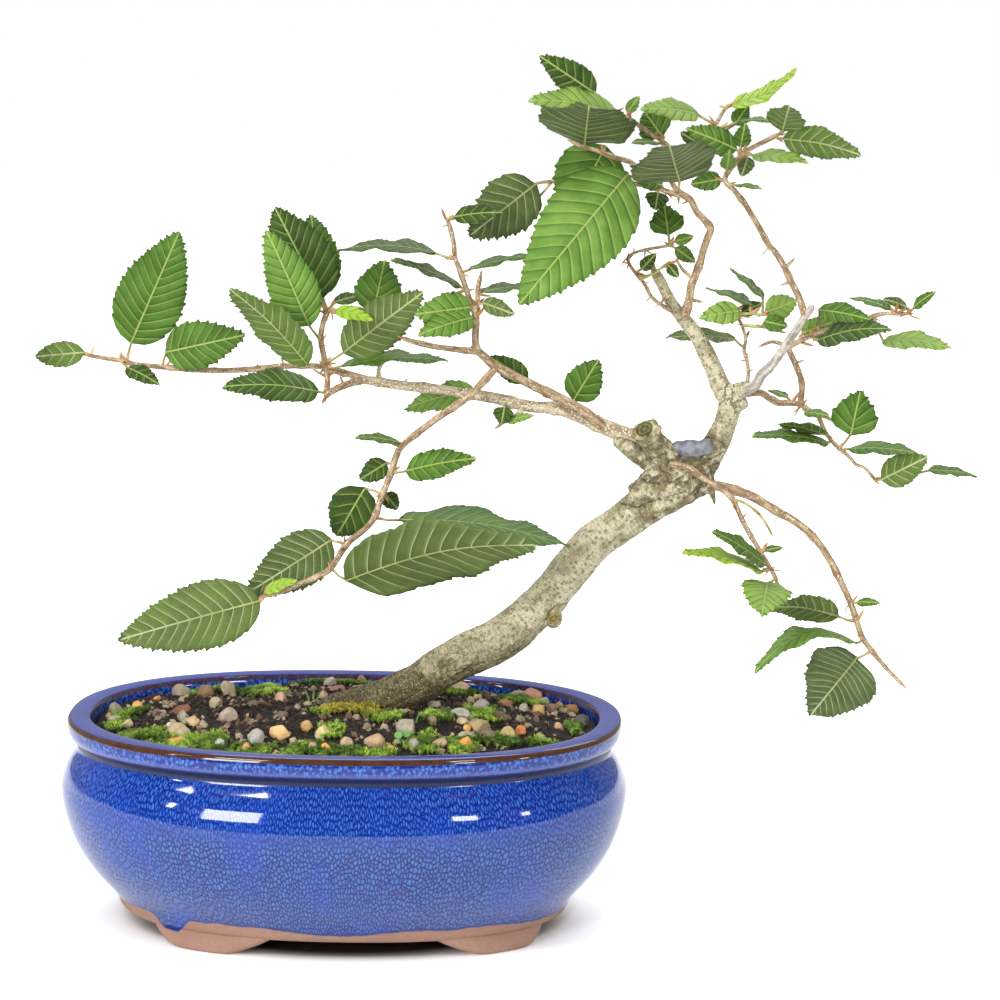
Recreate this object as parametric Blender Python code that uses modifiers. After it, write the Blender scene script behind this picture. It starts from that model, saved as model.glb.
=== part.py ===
"""Small broadleaf bonsai with its oval glazed pot, built in metres with +Z up.

The pot is one fired body. The tree is split where it forks: the woody trunk is one
body, and each leafy stem is one body whose twigs, leaf stalks and toothed blades are
fused. Positions of wood and leaves are tabled as (across, up, depth) in millimetres:
where a point shows from the front, and how far behind the pot's middle it lies.
"""
import math

import bmesh
import bpy
from mathutils import Matrix, Vector

MM = 0.001

# Pot, millimetres
RIM_HALF_LENGTH = 94.1
RIM_HALF_DEPTH = 70.0
RIM_HEIGHT = 71.5
RIM_WIDTH = 8.2
UNDERSIDE = 5.2
FLOOR_TOP = 13.5
FOOT_REACH = 77.4
FOOT_DEPTH = 12.0
DRAIN_RADIUS = 8.0
DRAIN_SPACING = 76.0
POT_STEPS = 36
OVAL_POWER = 2.3

# Soil and drain meshes, millimetres
CLEARANCE = 0.3
TWIG_GAP = 0.35
SOIL_EDGE = 67.0
SOIL_CROWN = 7.0
MESH_SIDE = 24.0
MESH_THICK = 1.2
MESH_HOLES = 2

# Leaves, millimetres
BLADE_THICK = 0.7
STALK_WIDTH = 1.0
LEAF_RATIO = 0.48
TOOTH_SPACING = 8.2
LEAF_FOLD = 0.08
ARCH_SHARE = 0.04
TOOTH_PLACE = 0.86
NOTCH_DEPTH = 0.88
EDGE_WAVE = 0.02
STALK_SUNK = 1.1

# The front view from which the layout of the branches was measured, millimetres
EYE_ACROSS = 75.0
EYE_DISTANCE = 1000.0
EYE_HEIGHT = 298.0
VIEW_MIDDLE = (52.5, 145.6)
VIEW_LEAN = math.radians(0.77)
POT_ASIDE = (0.9, -1.0)


# Shared helpers

def seen(point):
    """Turn (across, up, depth) in the front view into a place in space."""
    x, z, y = point[:3]
    right = x - VIEW_MIDDLE[0]
    up = z - VIEW_MIDDLE[1]
    x -= up * VIEW_LEAN
    z += right * VIEW_LEAN
    t = 1 + y / EYE_DISTANCE
    place = (EYE_ACROSS + (x - EYE_ACROSS) * t, y, EYE_HEIGHT + (z - EYE_HEIGHT) * t)
    return (Vector(place) - Vector((*POT_ASIDE, 0.0))) * MM


def material(name, colour, roughness):
    mat = bpy.data.materials.new(name)
    mat.use_nodes = True
    shader = mat.node_tree.nodes["Principled BSDF"]
    shader.inputs["Base Color"].default_value = (*colour, 1.0)
    shader.inputs["Roughness"].default_value = roughness
    mat.diffuse_color = (*colour, 1.0)
    return mat


def made(name, bm):
    """A mesh object from a bmesh, with its faces turned outward."""
    bmesh.ops.remove_doubles(bm, verts=bm.verts, dist=1e-6)
    bmesh.ops.recalc_face_normals(bm, faces=bm.faces)
    mesh = bpy.data.meshes.new(name)
    bm.to_mesh(mesh)
    bm.free()
    obj = bpy.data.objects.new(name, mesh)
    bpy.context.scene.collection.objects.link(obj)
    return obj


def loft(name, rings):
    """A closed body through rings of equally many points in millimetres, capped at both ends."""
    bm = bmesh.new()
    loops = [[bm.verts.new(Vector(point) * MM) for point in ring] for ring in rings]
    for low, high in zip(loops, loops[1:]):
        for i in range(len(low)):
            j = (i + 1) % len(low)
            bm.faces.new((low[i], low[j], high[j], high[i]))
    bm.faces.new(loops[0])
    bm.faces.new(loops[-1])
    return made(name, bm)


def block(x, y, low, high, width):
    bm = bmesh.new()
    middle = Matrix.Translation(Vector((x, y, (low + high) / 2)) * MM)
    bmesh.ops.create_cube(bm, size=MM, matrix=middle @ Matrix.Diagonal((width, width, high - low, 1)))
    return made("block", bm)


def drum(x, y, low, high, radius):
    bm = bmesh.new()
    middle = Matrix.Translation(Vector((x, y, (low + high) / 2)) * MM)
    bmesh.ops.create_cone(bm, cap_ends=True, segments=20, radius1=radius * MM, radius2=radius * MM,
                          depth=(high - low) * MM, matrix=middle)
    return made("drum", bm)


def settle(obj):
    """Apply every modifier on an object."""
    deps = bpy.context.evaluated_depsgraph_get()
    mesh = bpy.data.meshes.new_from_object(obj.evaluated_get(deps))
    obj.modifiers.clear()
    obj.data = mesh


def stem(rows, grow=0.0, detail=0):
    """A tapered round stem through rows of (across, up, depth, width)."""
    curve = bpy.data.curves.new("stem", "CURVE")
    curve.dimensions = "3D"
    curve.bevel_depth = 1.0
    curve.bevel_resolution = detail
    curve.use_fill_caps = True
    line = curve.splines.new("POLY")
    line.points.add(len(rows) - 1)
    spots = [seen(row) for row in rows]
    if grow:
        spots[0] += (spots[0] - spots[1]).normalized() * (grow + 0.1) * MM
        spots[-1] += (spots[-1] - spots[-2]).normalized() * (grow + 0.1) * MM
    for point, row, spot in zip(line.points, rows, spots):
        point.co = (*spot, 1.0)
        point.radius = (row[3] / 2 + grow) * MM
    holder = bpy.data.objects.new("stem", curve)
    bpy.context.scene.collection.objects.link(holder)
    deps = bpy.context.evaluated_depsgraph_get()
    tube = bpy.data.meshes.new_from_object(holder.evaluated_get(deps))
    bm = bmesh.new()
    bm.from_mesh(tube)
    obj = made("stem", bm)
    obj.matrix_world = holder.matrix_world.copy()
    bpy.data.objects.remove(holder)
    bpy.data.meshes.remove(tube)
    return obj


def blade(base, tip, width, side, arch, lean):
    """A toothed leaf blade: side 1 shows its upper face to the front, -1 its underside."""
    start = seen(base)
    end = seen(tip)
    length = (end - start).length
    along = (end - start) / length
    bow = ARCH_SHARE * length if arch is None else arch * MM
    eye = Vector((EYE_ACROSS, -EYE_DISTANCE, EYE_HEIGHT)) * MM
    toward = (eye - start).normalized()
    toward = (toward - along * toward.dot(along)).normalized()
    across = along.cross(toward)
    if across.z < -0.15 or (abs(across.z) <= 0.15 and across.x < 0):
        across = -across
    broad = max(width * MM, LEAF_RATIO * length)
    turn = math.acos(min(1.0, width * MM / broad))
    if side < 0:
        turn = math.pi - turn
    turn *= lean
    up = toward * math.cos(turn) + across * math.sin(turn)
    out = up.cross(along)

    count = max(2, min(8, round(length / MM / TOOTH_SPACING)))

    def half(t):
        t = min(1.0, max(0.0, t))
        full = max(0.0, math.sin(math.pi * t ** 0.8)) ** 0.66
        return 0.48 * broad * full * (1 - 0.5 * t ** 5)

    def place(t, s, lift=0.0):
        rise = bow * math.sin(math.pi * t) + LEAF_FOLD * abs(s) + lift
        return start + along * (t * length) + out * s + up * rise

    bm = bmesh.new()
    rib = [bm.verts.new(place(i / count, 0.0)) for i in range(count + 1)]
    for hand in (1, -1):
        notch = rib[0]
        for i in range(count):
            tooth_t = (i + TOOTH_PLACE) / count
            ripple = EDGE_WAVE * broad * (1 if i % 2 else -1)
            tooth = bm.verts.new(place(tooth_t, hand * (half(tooth_t) * 1.04 + 0.01 * broad), ripple))
            if i < count - 1:
                notch_t = (i + 1) / count
                following = bm.verts.new(place(notch_t, hand * half(notch_t) * NOTCH_DEPTH))
                faces = [(rib[i], rib[i + 1], following), (notch, following, tooth)]
                if i:
                    faces.append((rib[i], following, notch))
            else:
                following = rib[count]
                faces = [(rib[i], following, notch), (notch, following, tooth)]
            for face in faces:
                bm.faces.new(face if hand > 0 else face[::-1])
            notch = following
    obj = made("blade", bm)
    thick = obj.modifiers.new("thickness", "SOLIDIFY")
    thick.thickness = BLADE_THICK * MM
    thick.offset = 0.0
    settle(obj)
    sunk = start + along * (STALK_SUNK * MM)
    return obj, sunk


def stalk(foot, sunk):
    """A three-sided leaf stalk from the twig into the blade."""
    start = seen(foot)
    along = sunk - start
    turned = along.to_track_quat("Z", "Y").to_matrix().to_4x4()
    bm = bmesh.new()
    bmesh.ops.create_cone(bm, cap_ends=True, segments=3, radius1=0.3 * STALK_WIDTH * MM,
                          radius2=0.5 * STALK_WIDTH * MM, depth=along.length,
                          matrix=Matrix.Translation((start + sunk) / 2) @ turned)
    return made("stalk", bm)


def leaves(rows):
    """Blades and stalks for rows of (foot, base, tip, width, side[, arch[, lean]])."""
    pieces = []
    for row in rows:
        foot, base, tip, width, side = row[:5]
        arch = row[5] if len(row) > 5 else None
        lean = row[6] if len(row) > 6 else 1
        leaf, sunk = blade(base, tip, width, side, arch, lean)
        pieces += [leaf, stalk(foot, sunk)]
    return pieces


def largest_only(mesh):
    """Drop loose scrap and fill hollows sealed in by fusing."""
    bm = bmesh.new()
    bm.from_mesh(mesh)
    bmesh.ops.remove_doubles(bm, verts=bm.verts, dist=1e-6)
    left = set(bm.faces)
    groups = []
    while left:
        seed = left.pop()
        group = [seed]
        for face in group:
            for edge in face.edges:
                for other in edge.link_faces:
                    if len(edge.link_faces) == 2 and other in left:
                        left.discard(other)
                        group.append(other)
        groups.append(group)
    groups.sort(key=len, reverse=True)
    scrap = [face for group in groups[1:] for face in group]
    bmesh.ops.delete(bm, geom=scrap, context="FACES")
    wires = [edge for edge in bm.edges if not edge.link_faces]
    bmesh.ops.delete(bm, geom=wires, context="EDGES")
    bmesh.ops.triangulate(bm, faces=bm.faces)
    bm.to_mesh(mesh)
    bm.free()
    return [len(group) for group in groups]


def gather(name, objects):
    group = bpy.data.collections.new(name)
    bpy.context.scene.collection.children.link(group)
    for obj in objects:
        bpy.context.scene.collection.objects.unlink(obj)
        group.objects.link(obj)
    return group


def fuse(name, parts, mat, cutters=(), solver="EXACT"):
    """Join parts into one closed body, trimmed clear of its neighbours."""
    host = parts[0]
    host.name = name
    groups = []
    for label, members, operation in (("joined", parts[1:], "UNION"), ("cut", cutters, "DIFFERENCE")):
        if not members:
            continue
        group = gather(name + " " + label, members)
        groups.append(group)
        mod = host.modifiers.new(label, "BOOLEAN")
        mod.operation = operation
        mod.operand_type = "COLLECTION"
        mod.collection = group
        mod.solver = solver
    settle(host)
    for group in groups:
        for obj in list(group.objects):
            bpy.data.objects.remove(obj)
        bpy.data.collections.remove(group)
    sizes = largest_only(host.data)
    print(name, "triangles", len(host.data.polygons), "groups", sizes[:5])
    host.data.name = name
    host.data.materials.clear()
    host.data.materials.append(mat)
    bpy.context.scene.collection.objects.unlink(host)
    whole.objects.link(host)
    return host


for old in list(bpy.data.objects):
    bpy.data.objects.remove(old)
whole = bpy.data.collections.new("bonsai tree")
bpy.context.scene.collection.children.link(whole)


# Pot: one fired body with a lip, a waist under it, a round belly and four feet

def oval_spot(reach, turn, z):
    """A place on a full oval whose length and depth both step in from the rim by the same amount."""
    depth = reach - RIM_HALF_LENGTH + RIM_HALF_DEPTH
    across = math.cos(turn)
    inward = math.sin(turn)
    return (math.copysign(reach * abs(across) ** (2 / OVAL_POWER), across),
            math.copysign(depth * abs(inward) ** (2 / OVAL_POWER), inward), z)


def oval(reach, z):
    return [oval_spot(reach, 2 * math.pi * i / POT_STEPS, z) for i in range(POT_STEPS)]


inner = RIM_HALF_LENGTH - RIM_WIDTH
pot_profile = (
    (73.0, UNDERSIDE), (76.6, 7.6), (79.0, 11.9), (84.0, 17.6), (90.2, 26.5),
    (94.1, 36.0), (96.2, 46.0), (95.2, 53.4), (92.3, 59.0),
    (90.7, 62.2), (93.3, 66.0), (RIM_HALF_LENGTH + 0.1, RIM_HEIGHT - 1.2),
    (RIM_HALF_LENGTH - 0.7, RIM_HEIGHT), (inner + 0.5, RIM_HEIGHT), (inner, RIM_HEIGHT - 0.5),
    (inner - 0.3, 58.0), (inner - 2.0, 34.0), (inner - 10.5, 18.0), (inner - 17.0, FLOOR_TOP))
pot_body = loft("pot", [oval(reach, z) for reach, z in pot_profile])


def foot(first, last):
    """A bracket foot following the oval edge of the underside between two angles."""
    rises = (UNDERSIDE - 0.4, 3.0, 1.1, 0.0, 0.0, 1.1, 3.0, UNDERSIDE - 0.4)
    spots = (0.0, 0.1, 0.2, 0.31, 0.72, 0.83, 0.92, 1.0)
    top = UNDERSIDE + 1.6
    sections = []
    for rise, spot in zip(rises, spots):
        a = math.radians(first + (last - first) * spot)
        section = []
        for reach, z in ((FOOT_REACH - 2.6, top), (FOOT_REACH - 0.9 * rise / UNDERSIDE, rise),
                         (FOOT_REACH - FOOT_DEPTH, rise), (FOOT_REACH - FOOT_DEPTH, top)):
            section.append(oval_spot(reach, a, z))
        sections.append(section)
    return loft("foot", sections)


feet = [foot(220, 256), foot(294.5, 334.5), foot(25.5, 65.5), foot(104, 140)]
drains = [drum(s * DRAIN_SPACING / 2, 0, 0, FLOOR_TOP + 5, DRAIN_RADIUS) for s in (-1, 1)]
fuse("pot", [pot_body] + feet, material("blue glazed stoneware", (0.015, 0.035, 0.16), 0.2), drains)


# Drain meshes: flat plastic grids lying over the two drain holes

mesh_low = FLOOR_TOP + CLEARANCE
mesh_plastic = material("drain mesh plastic", (0.02, 0.02, 0.02), 0.5)
for label, s in (("drain_mesh_left", -1), ("drain_mesh_right", 1)):
    middle = s * DRAIN_SPACING / 2
    plate = block(middle, 0, mesh_low, mesh_low + MESH_THICK, MESH_SIDE)
    pitch = MESH_SIDE / (MESH_HOLES + 0.5)
    windows = []
    for i in range(MESH_HOLES):
        for j in range(MESH_HOLES):
            u = (i - (MESH_HOLES - 1) / 2) * pitch
            v = (j - (MESH_HOLES - 1) / 2) * pitch
            windows.append(block(middle + u, v, mesh_low - 1, mesh_low + MESH_THICK + 1, pitch * 0.68))
    fuse(label, [plate], mesh_plastic, windows)


# Wood: the trunk with its crotch, stubs and grey dead limb

WOOD = (
    ((-22, 66, 1, 4), (-13, 70, 1, 7), (-3, 73.4, 1, 10), (6.4, 75.4, 1, 11.6), (13.6, 77.2, 0.5, 13),
     (20.8, 80.1, 0, 13.6), (26.5, 82.9, -0.5, 14), (30.5, 86, -1, 14), (35.5, 89.2, -1.5, 14.3),
     (41, 92.2, -2, 14.8), (50, 96, -2, 15.1), (58, 101.7, -2, 14.7), (66, 109.6, -1, 13.2),
     (72, 116.2, 0, 13.3), (78, 123.8, 0, 13.6), (84, 130.8, 0, 13.6), (92, 136.5, 0, 12.8),
     (100, 142.5, 0, 13), (110, 148.6, 0, 14), (118, 153, 0, 13), (123, 156, 0, 9)),
    ((24, 81, 1, 12), (18, 70, 2, 11), (15, 60, 2, 8), (14, 52, 2, 5)),
    ((20, 76, 3, 11), (14, 76.2, 15, 7.5), (8, 76.2, 26, 4)),
    ((69, 111, 0, 8), (70.5, 105, -1, 5.6), (71, 101.8, -1.5, 3.6)),
    ((98, 145, 0, 11), (108, 151, -1, 14), (118, 153, 0, 14), (124, 154.5, 0, 9)),
    ((107, 156, 0, 8), (114, 160, 0, 10), (120, 160.5, 0, 10), (124.5, 164, 0, 8)),
    ((112, 150, 0, 11), (120, 156, 0, 10), (125, 165, 1, 8.6), (128, 171, 1, 8.1), (129.5, 177, 1, 8),
     (130, 182, 1, 7.4)),
    ((129, 178, 1, 5), (135.5, 178.3, -1, 4)),
    ((130, 182, 1, 5), (136, 184.6, 1, 4)),
    ((130, 179, 1, 7.8), (126.5, 184, 2, 6.6), (124, 190, 3, 6), (121, 196, 4, 5.6), (117.5, 202, 5, 5.1),
     (114.5, 206, 6, 4.8), (111, 210, 7, 4.4), (108.5, 214, 8, 4), (106, 219, 8, 3.8), (104, 222.5, 8, 3.5)),
    ((104, 221.5, 8, 2.4), (103, 225, 8, 2), (101, 228, 8, 1.5)),
    ((131, 181, 0, 5), (133.5, 182.5, -2, 4.2), (138, 184.5, -4, 3.6), (140, 188, -5, 3.4),
     (143, 191, -6, 3.3),
     (146, 195, -7, 3.2), (149, 199.5, -8, 3), (152, 204, -8, 2.8), (154.5, 208, -9, 2.6),
     (157, 211.5, -9, 2.4)),
    ((111, 156, -2, 10), (106, 163, -5, 9), (102.5, 167.5, -7.5, 7.4), (100.8, 169.6, -10, 6.4)),
    ((108, 155, -2, 6), (104, 157.5, -3, 5), (97, 162, -3, 4.2), (91, 166, -1, 3.4)),
    ((123, 149.5, -2, 2.6), (125, 143.5, -2.5, 1.6)),
)
BRANCH_LEFT = (
    ((116, 154, 1, 8.6), (111, 160, 1, 7.4), (102, 165.5, 1, 6.3), (95, 167.5, 1, 5.8), (88, 170, 1, 5.4),
     (80, 173.5, 1, 4.8), (72, 176.3, 1, 4.4), (62, 177.2, 1, 4.1), (50, 180, 1, 3.8), (40, 181.5, 1, 3.6),
     (30, 183, 1, 3.4), (20, 184, 1, 3.2), (10, 185.5, 1, 3), (4, 186, 1, 2.6)),
    ((60.5, 176.5, 0.5, 2.2), (57, 173, -1, 1.6), (54, 172, -1.5, 1.4), (51.5, 170, -2, 1.2)),
    ((12, 185.5, 1, 1.9), (12, 190, 1.5, 1.4), (16, 195, 2, 1.1)),
)
BRANCH_UP = (
    ((87, 170.5, -1, 3.8), (78, 177, -3.4, 3.4), (66, 183, -5, 3.2), (58, 187, -7, 3), (51, 190.5, -8, 2.9),
     (47, 194, -9, 2.8), (44.5, 196, -10, 2.7)),
    ((45.5, 195.5, -10, 2.4), (36, 196.5, -11, 2), (30, 197.3, -12, 1.9), (23, 199, -13, 1.7),
     (20, 200, -13, 1.5)),
    ((44.8, 195, -10, 2.6), (44.2, 200, -10, 2.5), (44.5, 205, -10, 2.4), (44, 209, -10, 2.3),
     (43, 211.3, -10, 2.1)),
    ((43.6, 209, -10, 2), (41, 217, -10, 1.8), (39, 223, -10, 1.7), (37.5, 227, -10, 1.6),
     (37, 232, -10, 1.5),
     (35.5, 238, -10, 1.4), (34.5, 240, -10, 1.2)),
    ((43.8, 208.5, -10, 1.9), (45, 212, -10, 1.7), (45, 216, -9.5, 1.5), (46, 221, -9, 1.3)),
)
TWIG_RIGHT = (
    ((131, 181, 0.5, 3), (139, 182, 2, 2.4), (143, 180, 3, 2.3), (146, 178.5, 4, 2.2), (150, 178.5, 4, 2.1),
     (153, 178, 4, 2), (156, 176, 4, 1.9), (159, 174, 4, 1.7), (160.5, 171, 3, 1.6), (162, 168, 3, 1.5),
     (164, 165.5, 2, 1.5), (166.5, 163, 1, 1.4), (170, 160, 0, 1.3), (172, 157.8, -1, 1.2),
     (175, 156.5, -2, 1.1), (179, 152, -3, 1)),
    ((155, 176.6, 4, 1.3), (162, 173.5, 6, 1.1), (166, 171.8, 7, 1), (169.5, 171.5, 7, 1)),
)


def stems(table, grow=0.0, detail=0):
    return [stem(rows, grow, detail) for rows in table]


bark = material("grey bark", (0.42, 0.38, 0.3), 0.8)
twig_bark = material("twigs and leaves", (0.13, 0.3, 0.05), 0.55)
wood_parts = [stem(WOOD[0], 0.0, 2)] + stems(WOOD[1:], 0.0, 1)


def wood_gap():
    """The trunk's wood grown by the clearance, to trim what sits against it."""
    return [stem(WOOD[0], TWIG_GAP + 0.05, 2)] + stems(WOOD[1:], TWIG_GAP, 1)


fuse("trunk", wood_parts, bark)


# Wound paste: a grey seal smeared over the crotch where a limb was taken off

PASTE_OUTLINE = ((111, 165.2), (115, 165.8), (120, 165.6), (123, 166), (124.2, 163.6), (123.4, 161),
                 (120, 160.4), (117, 160), (114, 160.4), (112, 161.3), (110, 163))
paste_middle = (117.0, 163.0)
paste_layers = ((-2.5, 0.9), (-6.2, 1.0), (-7.2, 0.86), (-7.8, 0.5))
paste_rings = []
for depth, spread in paste_layers:
    ring = []
    for x, z in PASTE_OUTLINE:
        across = paste_middle[0] + (x - paste_middle[0]) * spread
        up = paste_middle[1] + (z - paste_middle[1]) * spread
        ring.append(seen((across, up, depth)) / MM)
    paste_rings.append(ring)
paste = loft("wound_paste", paste_rings)
fuse("wound_paste", [paste], material("grey wound paste", (0.3, 0.31, 0.33), 0.6),
     wood_gap() + stems(BRANCH_LEFT[:1], TWIG_GAP, 1))


# Soil: a mound filling the pot with stones bedded in it, holed for the trunk

SOIL_RINGS = (0.84, 0.62, 0.36, 0.04)
PEBBLES = (
    (66, 75.2, 9.5, 7.5), (56, 76, 7.0, 5.5), (40, 71, 7.5, 6.0), (47, 73.5, 6.5, 5.0), (28, 75.5, 6.0, 5.0),
    (42, 61.5, 7.0, 5.6), (-24, 63.5, 6.4, 5.0), (-9, 64, 6.2, 4.8), (-31, 63, 6.4, 5.0), (-50, 72, 6.0, 4.6),
    (60, 70, 6.0, 5.0), (-66, 72, 6.0, 4.4), (72, 71, 6.0, 4.6))


def soil_height(x, y):
    u = x / RIM_HALF_LENGTH
    v = y / RIM_HALF_DEPTH
    swell = max(0.0, 1 - (u * u + v * v) * 1.22)
    return SOIL_EDGE + SOIL_CROWN * swell + 0.5 * math.sin(0.16 * x) * math.cos(0.19 * y)


soil_reach = inner - CLEARANCE - 0.1
soil_walls = ((soil_reach - 17.4, FLOOR_TOP + CLEARANCE), (soil_reach - 10.8, 18.2), (soil_reach - 2.1, 34.0),
              (soil_reach - 0.35, 58.0), (soil_reach - 0.3, SOIL_EDGE))
soil_rings = [oval(reach, z) for reach, z in soil_walls]
for share in SOIL_RINGS:
    ring = [(x * share, y * share) for x, y, z in oval(soil_reach, 0.0)]
    soil_rings.append([(x, y, soil_height(x, y)) for x, y in ring])
soil = loft("soil", soil_rings)


def pebble(x, y, wide, tall):
    """A rounded stone sunk a third of its height in the soil."""
    bm = bmesh.new()
    place = Matrix.Translation(Vector((x, y, soil_height(x, y) + tall / 6)) * MM)
    shape = Matrix.Rotation(x + y, 4, "Z") @ Matrix.Diagonal((wide / 2, 0.4 * wide, tall / 2, 1))
    bmesh.ops.create_uvsphere(bm, u_segments=6, v_segments=4, radius=MM, matrix=place @ shape)
    return made("pebble", bm)


def on_soil(x, z):
    """The spot on the soil that shows at (across, up) from the front, in millimetres."""
    depth = 0.0
    for _ in range(12):
        spot = seen((x, z, depth)) / MM
        depth += (spot.z - soil_height(spot.x, spot.y) - 1) * EYE_DISTANCE / (EYE_HEIGHT - z)
    return spot.x, spot.y


stones = [pebble(*on_soil(x, z), wide, tall) for x, z, wide, tall in PEBBLES]
recesses = []
for s in (-1, 1):
    recesses.append(block(s * DRAIN_SPACING / 2, 0, FLOOR_TOP - 1, mesh_low + MESH_THICK + CLEARANCE,
                          MESH_SIDE + 2 * CLEARANCE))
soil_cuts = [stem(WOOD[0], TWIG_GAP + 0.05, 2)] + stems(WOOD[1:3], TWIG_GAP, 1)
fuse("soil", [soil] + stones, material("dark potting soil", (0.05, 0.03, 0.02), 0.95), soil_cuts + recesses)


# Left limb with the few leaves on it

fuse("branch_left", stems(BRANCH_LEFT, 0.0, 1) + leaves((
    ((46, 181, 2), (44, 182.5, 4), (20, 176, 10), 9, 1),
    ((78, 174.5, 1.5), (77, 179, 3), (85.5, 193, 8), 13, 1),
    ((54, 178.8, 0), (54, 177, -2.5), (53, 171, -6), 7, 1),
    ((53, 171.5, -1.5), (55, 172, -2.5), (64, 174, -7), 3, 1),
)), bark, wood_gap())


# Rising twig from the left limb

fuse("spray_mid_left", stems(BRANCH_UP) + leaves((
    ((37.5, 226.5, -10), (31, 228.7, -10), (-2, 229.5, -6), 4, 1, 2),
    ((41, 216, -10), (39.5, 217.3, -12), (16, 226.5, -20), 3, 1),
    ((44.5, 207, -10), (43, 210.5, -12), (24, 208, -21), 12, 1),
    ((44.3, 204, -10), (41, 206.5, -8), (26.5, 205.5, -3), 7, 1),
    ((44.5, 204.5, -10), (43.5, 207, -14), (25, 201, -26), 9, 1),
    ((34.6, 239.6, -10), (37, 240.5, -11), (53.5, 242, -14), 6, 1),
    ((39.3, 222, -10), (42, 223, -10), (66, 228, -6), 2.5, 1),
    ((45, 215, -9.6), (46, 215.5, -9), (65, 217.5, -3), 3, 1),
    ((44.7, 211, -10), (46.5, 212, -12), (57.5, 208, -18), 6, -1),
    ((64, 184, -5.5), (62, 186, -3), (48.5, 194, 3), 8, 1),
)), twig_bark, wood_gap() + stems(BRANCH_LEFT[:1], TWIG_GAP, 1))


# Twig hanging to the lower left, passing before the limb

fuse("spray_lower_left", stems((
    ((51, 190, -8.5, 2.6), (42, 180.5, -12, 2.4), (30, 172, -16, 2.3), (20, 164, -19, 2.2),
     (17.5, 160, -20, 2.2),
     (16, 155, -21, 2.2), (14, 150, -22, 2.2), (12, 145, -23, 2.1), (10, 139, -24, 2.1), (6, 134.5, -25, 2.1),
     (1, 130.5, -26, 2.1), (-2, 126, -27, 2), (-5, 121.5, -28, 2), (-9, 119, -29, 2), (-15, 116.5, -30, 1.9),
     (-22, 113.5, -31, 1.8), (-28, 112, -32, 1.6)),
)) + leaves((
    ((19.6, 163.6, -19), (19, 164.8, -21), (3.5, 166.5, -28), 3, 1),
    ((16.6, 157, -20.5), (14.5, 158, -18), (5, 152, -12), 8, 1),
    ((16, 154.5, -21), (20.5, 155, -23), (44.5, 159.5, -28), 10, 1),
    ((12.8, 147, -22.5), (7, 149.5, -20), (-3, 132.5, -14), 16, 1, 3),
    ((13.2, 148, -22), (13.6, 147.5, -20), (18, 142, -15), 6, 1),
    ((10.2, 139, -24), (18.5, 138.5, -22), (76.5, 129.5, -22), 9.5, 1, 3),
    ((-4.5, 121.5, -28), (0, 117.5, -32), (65, 130, -56), 22, -1, 5),
    ((0, 130, -26), (-4.5, 131.5, -24), (-34, 112.5, -22), 19, -1, 2),
    ((-27.5, 112.2, -32), (-29, 110.4, -33), (-78, 96.5, -40), 23, -1, 1.5),
    ((-27.5, 112.2, -32), (-27.5, 113.6, -33.5), (-16.5, 117.5, -38), 4, 1),
)), twig_bark, wood_gap() + stems(BRANCH_UP[:1], TWIG_GAP) + stems(BRANCH_LEFT[:1], TWIG_GAP, 1))


# Upright cluster at the limb's end

CLUSTER = (
    ((6, 185.8, 0.5, 2.6), (0, 184, -2, 2.4), (-5, 181.5, -4, 2.3), (-6, 180, -4, 2)),
    ((-6, 180.6, -4, 2.1), (-5.5, 186, -4, 2), (-6.5, 193, -4, 2), (-7.5, 199, -4, 2), (-7, 204, -4, 1.9),
     (-5.5, 208, -4, 1.7), (-4, 210.5, -4, 1.5)),
)
fuse("spray_left_cluster", stems(CLUSTER) + leaves((
    ((-7.4, 199, -4), (-11.5, 204, -7), (-25.5, 236, -14), 17, 1, 3),
    ((-6, 207, -4), (-7, 213, -3), (-22.5, 243.5, 5), 22, 1, 2),
    ((-5, 209, -4), (-7, 214, 2), (-10.5, 241.5, 14), 16, 1, 2),
    ((-5.8, 187, -4), (-12, 191, -8), (-38, 216.5, -18), 13, -1, 2),
    ((-5.8, 181.5, -4), (-8.5, 182, -7), (-41, 183.5, -16), 11, 1, 2),
    ((-5.8, 191.5, -4), (0, 195, -7), (27, 215.5, -16), 17, -1, 2),
    ((-4.6, 209.6, -4), (10, 208, 0), (14, 226, 8), 16, 1, 2),
    ((-4.3, 210.2, -4), (-3, 212, -2), (8, 214.5, 4), 4, 1),
    ((-4.6, 209.6, -4), (-2.5, 209.6, -7), (10, 206, -13), 5, 1),
    ((-5.8, 190, -4), (-0.5, 190.7, -9), (35, 192.4, -16), 4, 1, 2),
)), twig_bark, stems(BRANCH_LEFT[:1], TWIG_GAP, 1))


# Twig reaching to the far left behind the cluster

fuse("spray_far_left", stems((
    ((8, 186, 1.6, 2.4), (2, 187.8, 4, 2.3), (-4, 189.3, 7, 2.2), (-9, 190.5, 9, 2), (-20, 190.5, 11, 2),
     (-30, 189.5, 12, 2), (-40, 189, 12, 1.9), (-50, 189.2, 11, 1.9), (-60, 190, 10, 1.8), (-70, 191, 8, 1.7),
     (-75, 192.3, 7, 1.6), (-80, 193, 6, 1.5), (-86, 194, 5, 1.3)),
)) + leaves((
    ((-85, 193.9, 5), (-87, 195, 4), (-104, 193.5, -4), 9, -1, 5),
    ((-73, 191.8, 7.4), (-71.5, 198, 9), (-54.5, 235.5, 16), 24, 1, 3),
    ((-61, 190.2, 9.8), (-60, 195, 9), (-33, 201, 4), 17, 1, 2),
    ((-75, 192.2, 7), (-73, 190, 4), (-62, 184, -4), 6, 1),
)), twig_bark, stems(BRANCH_LEFT, TWIG_GAP, 1) + stems(CLUSTER, TWIG_GAP))


# Left half of the crown

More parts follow.
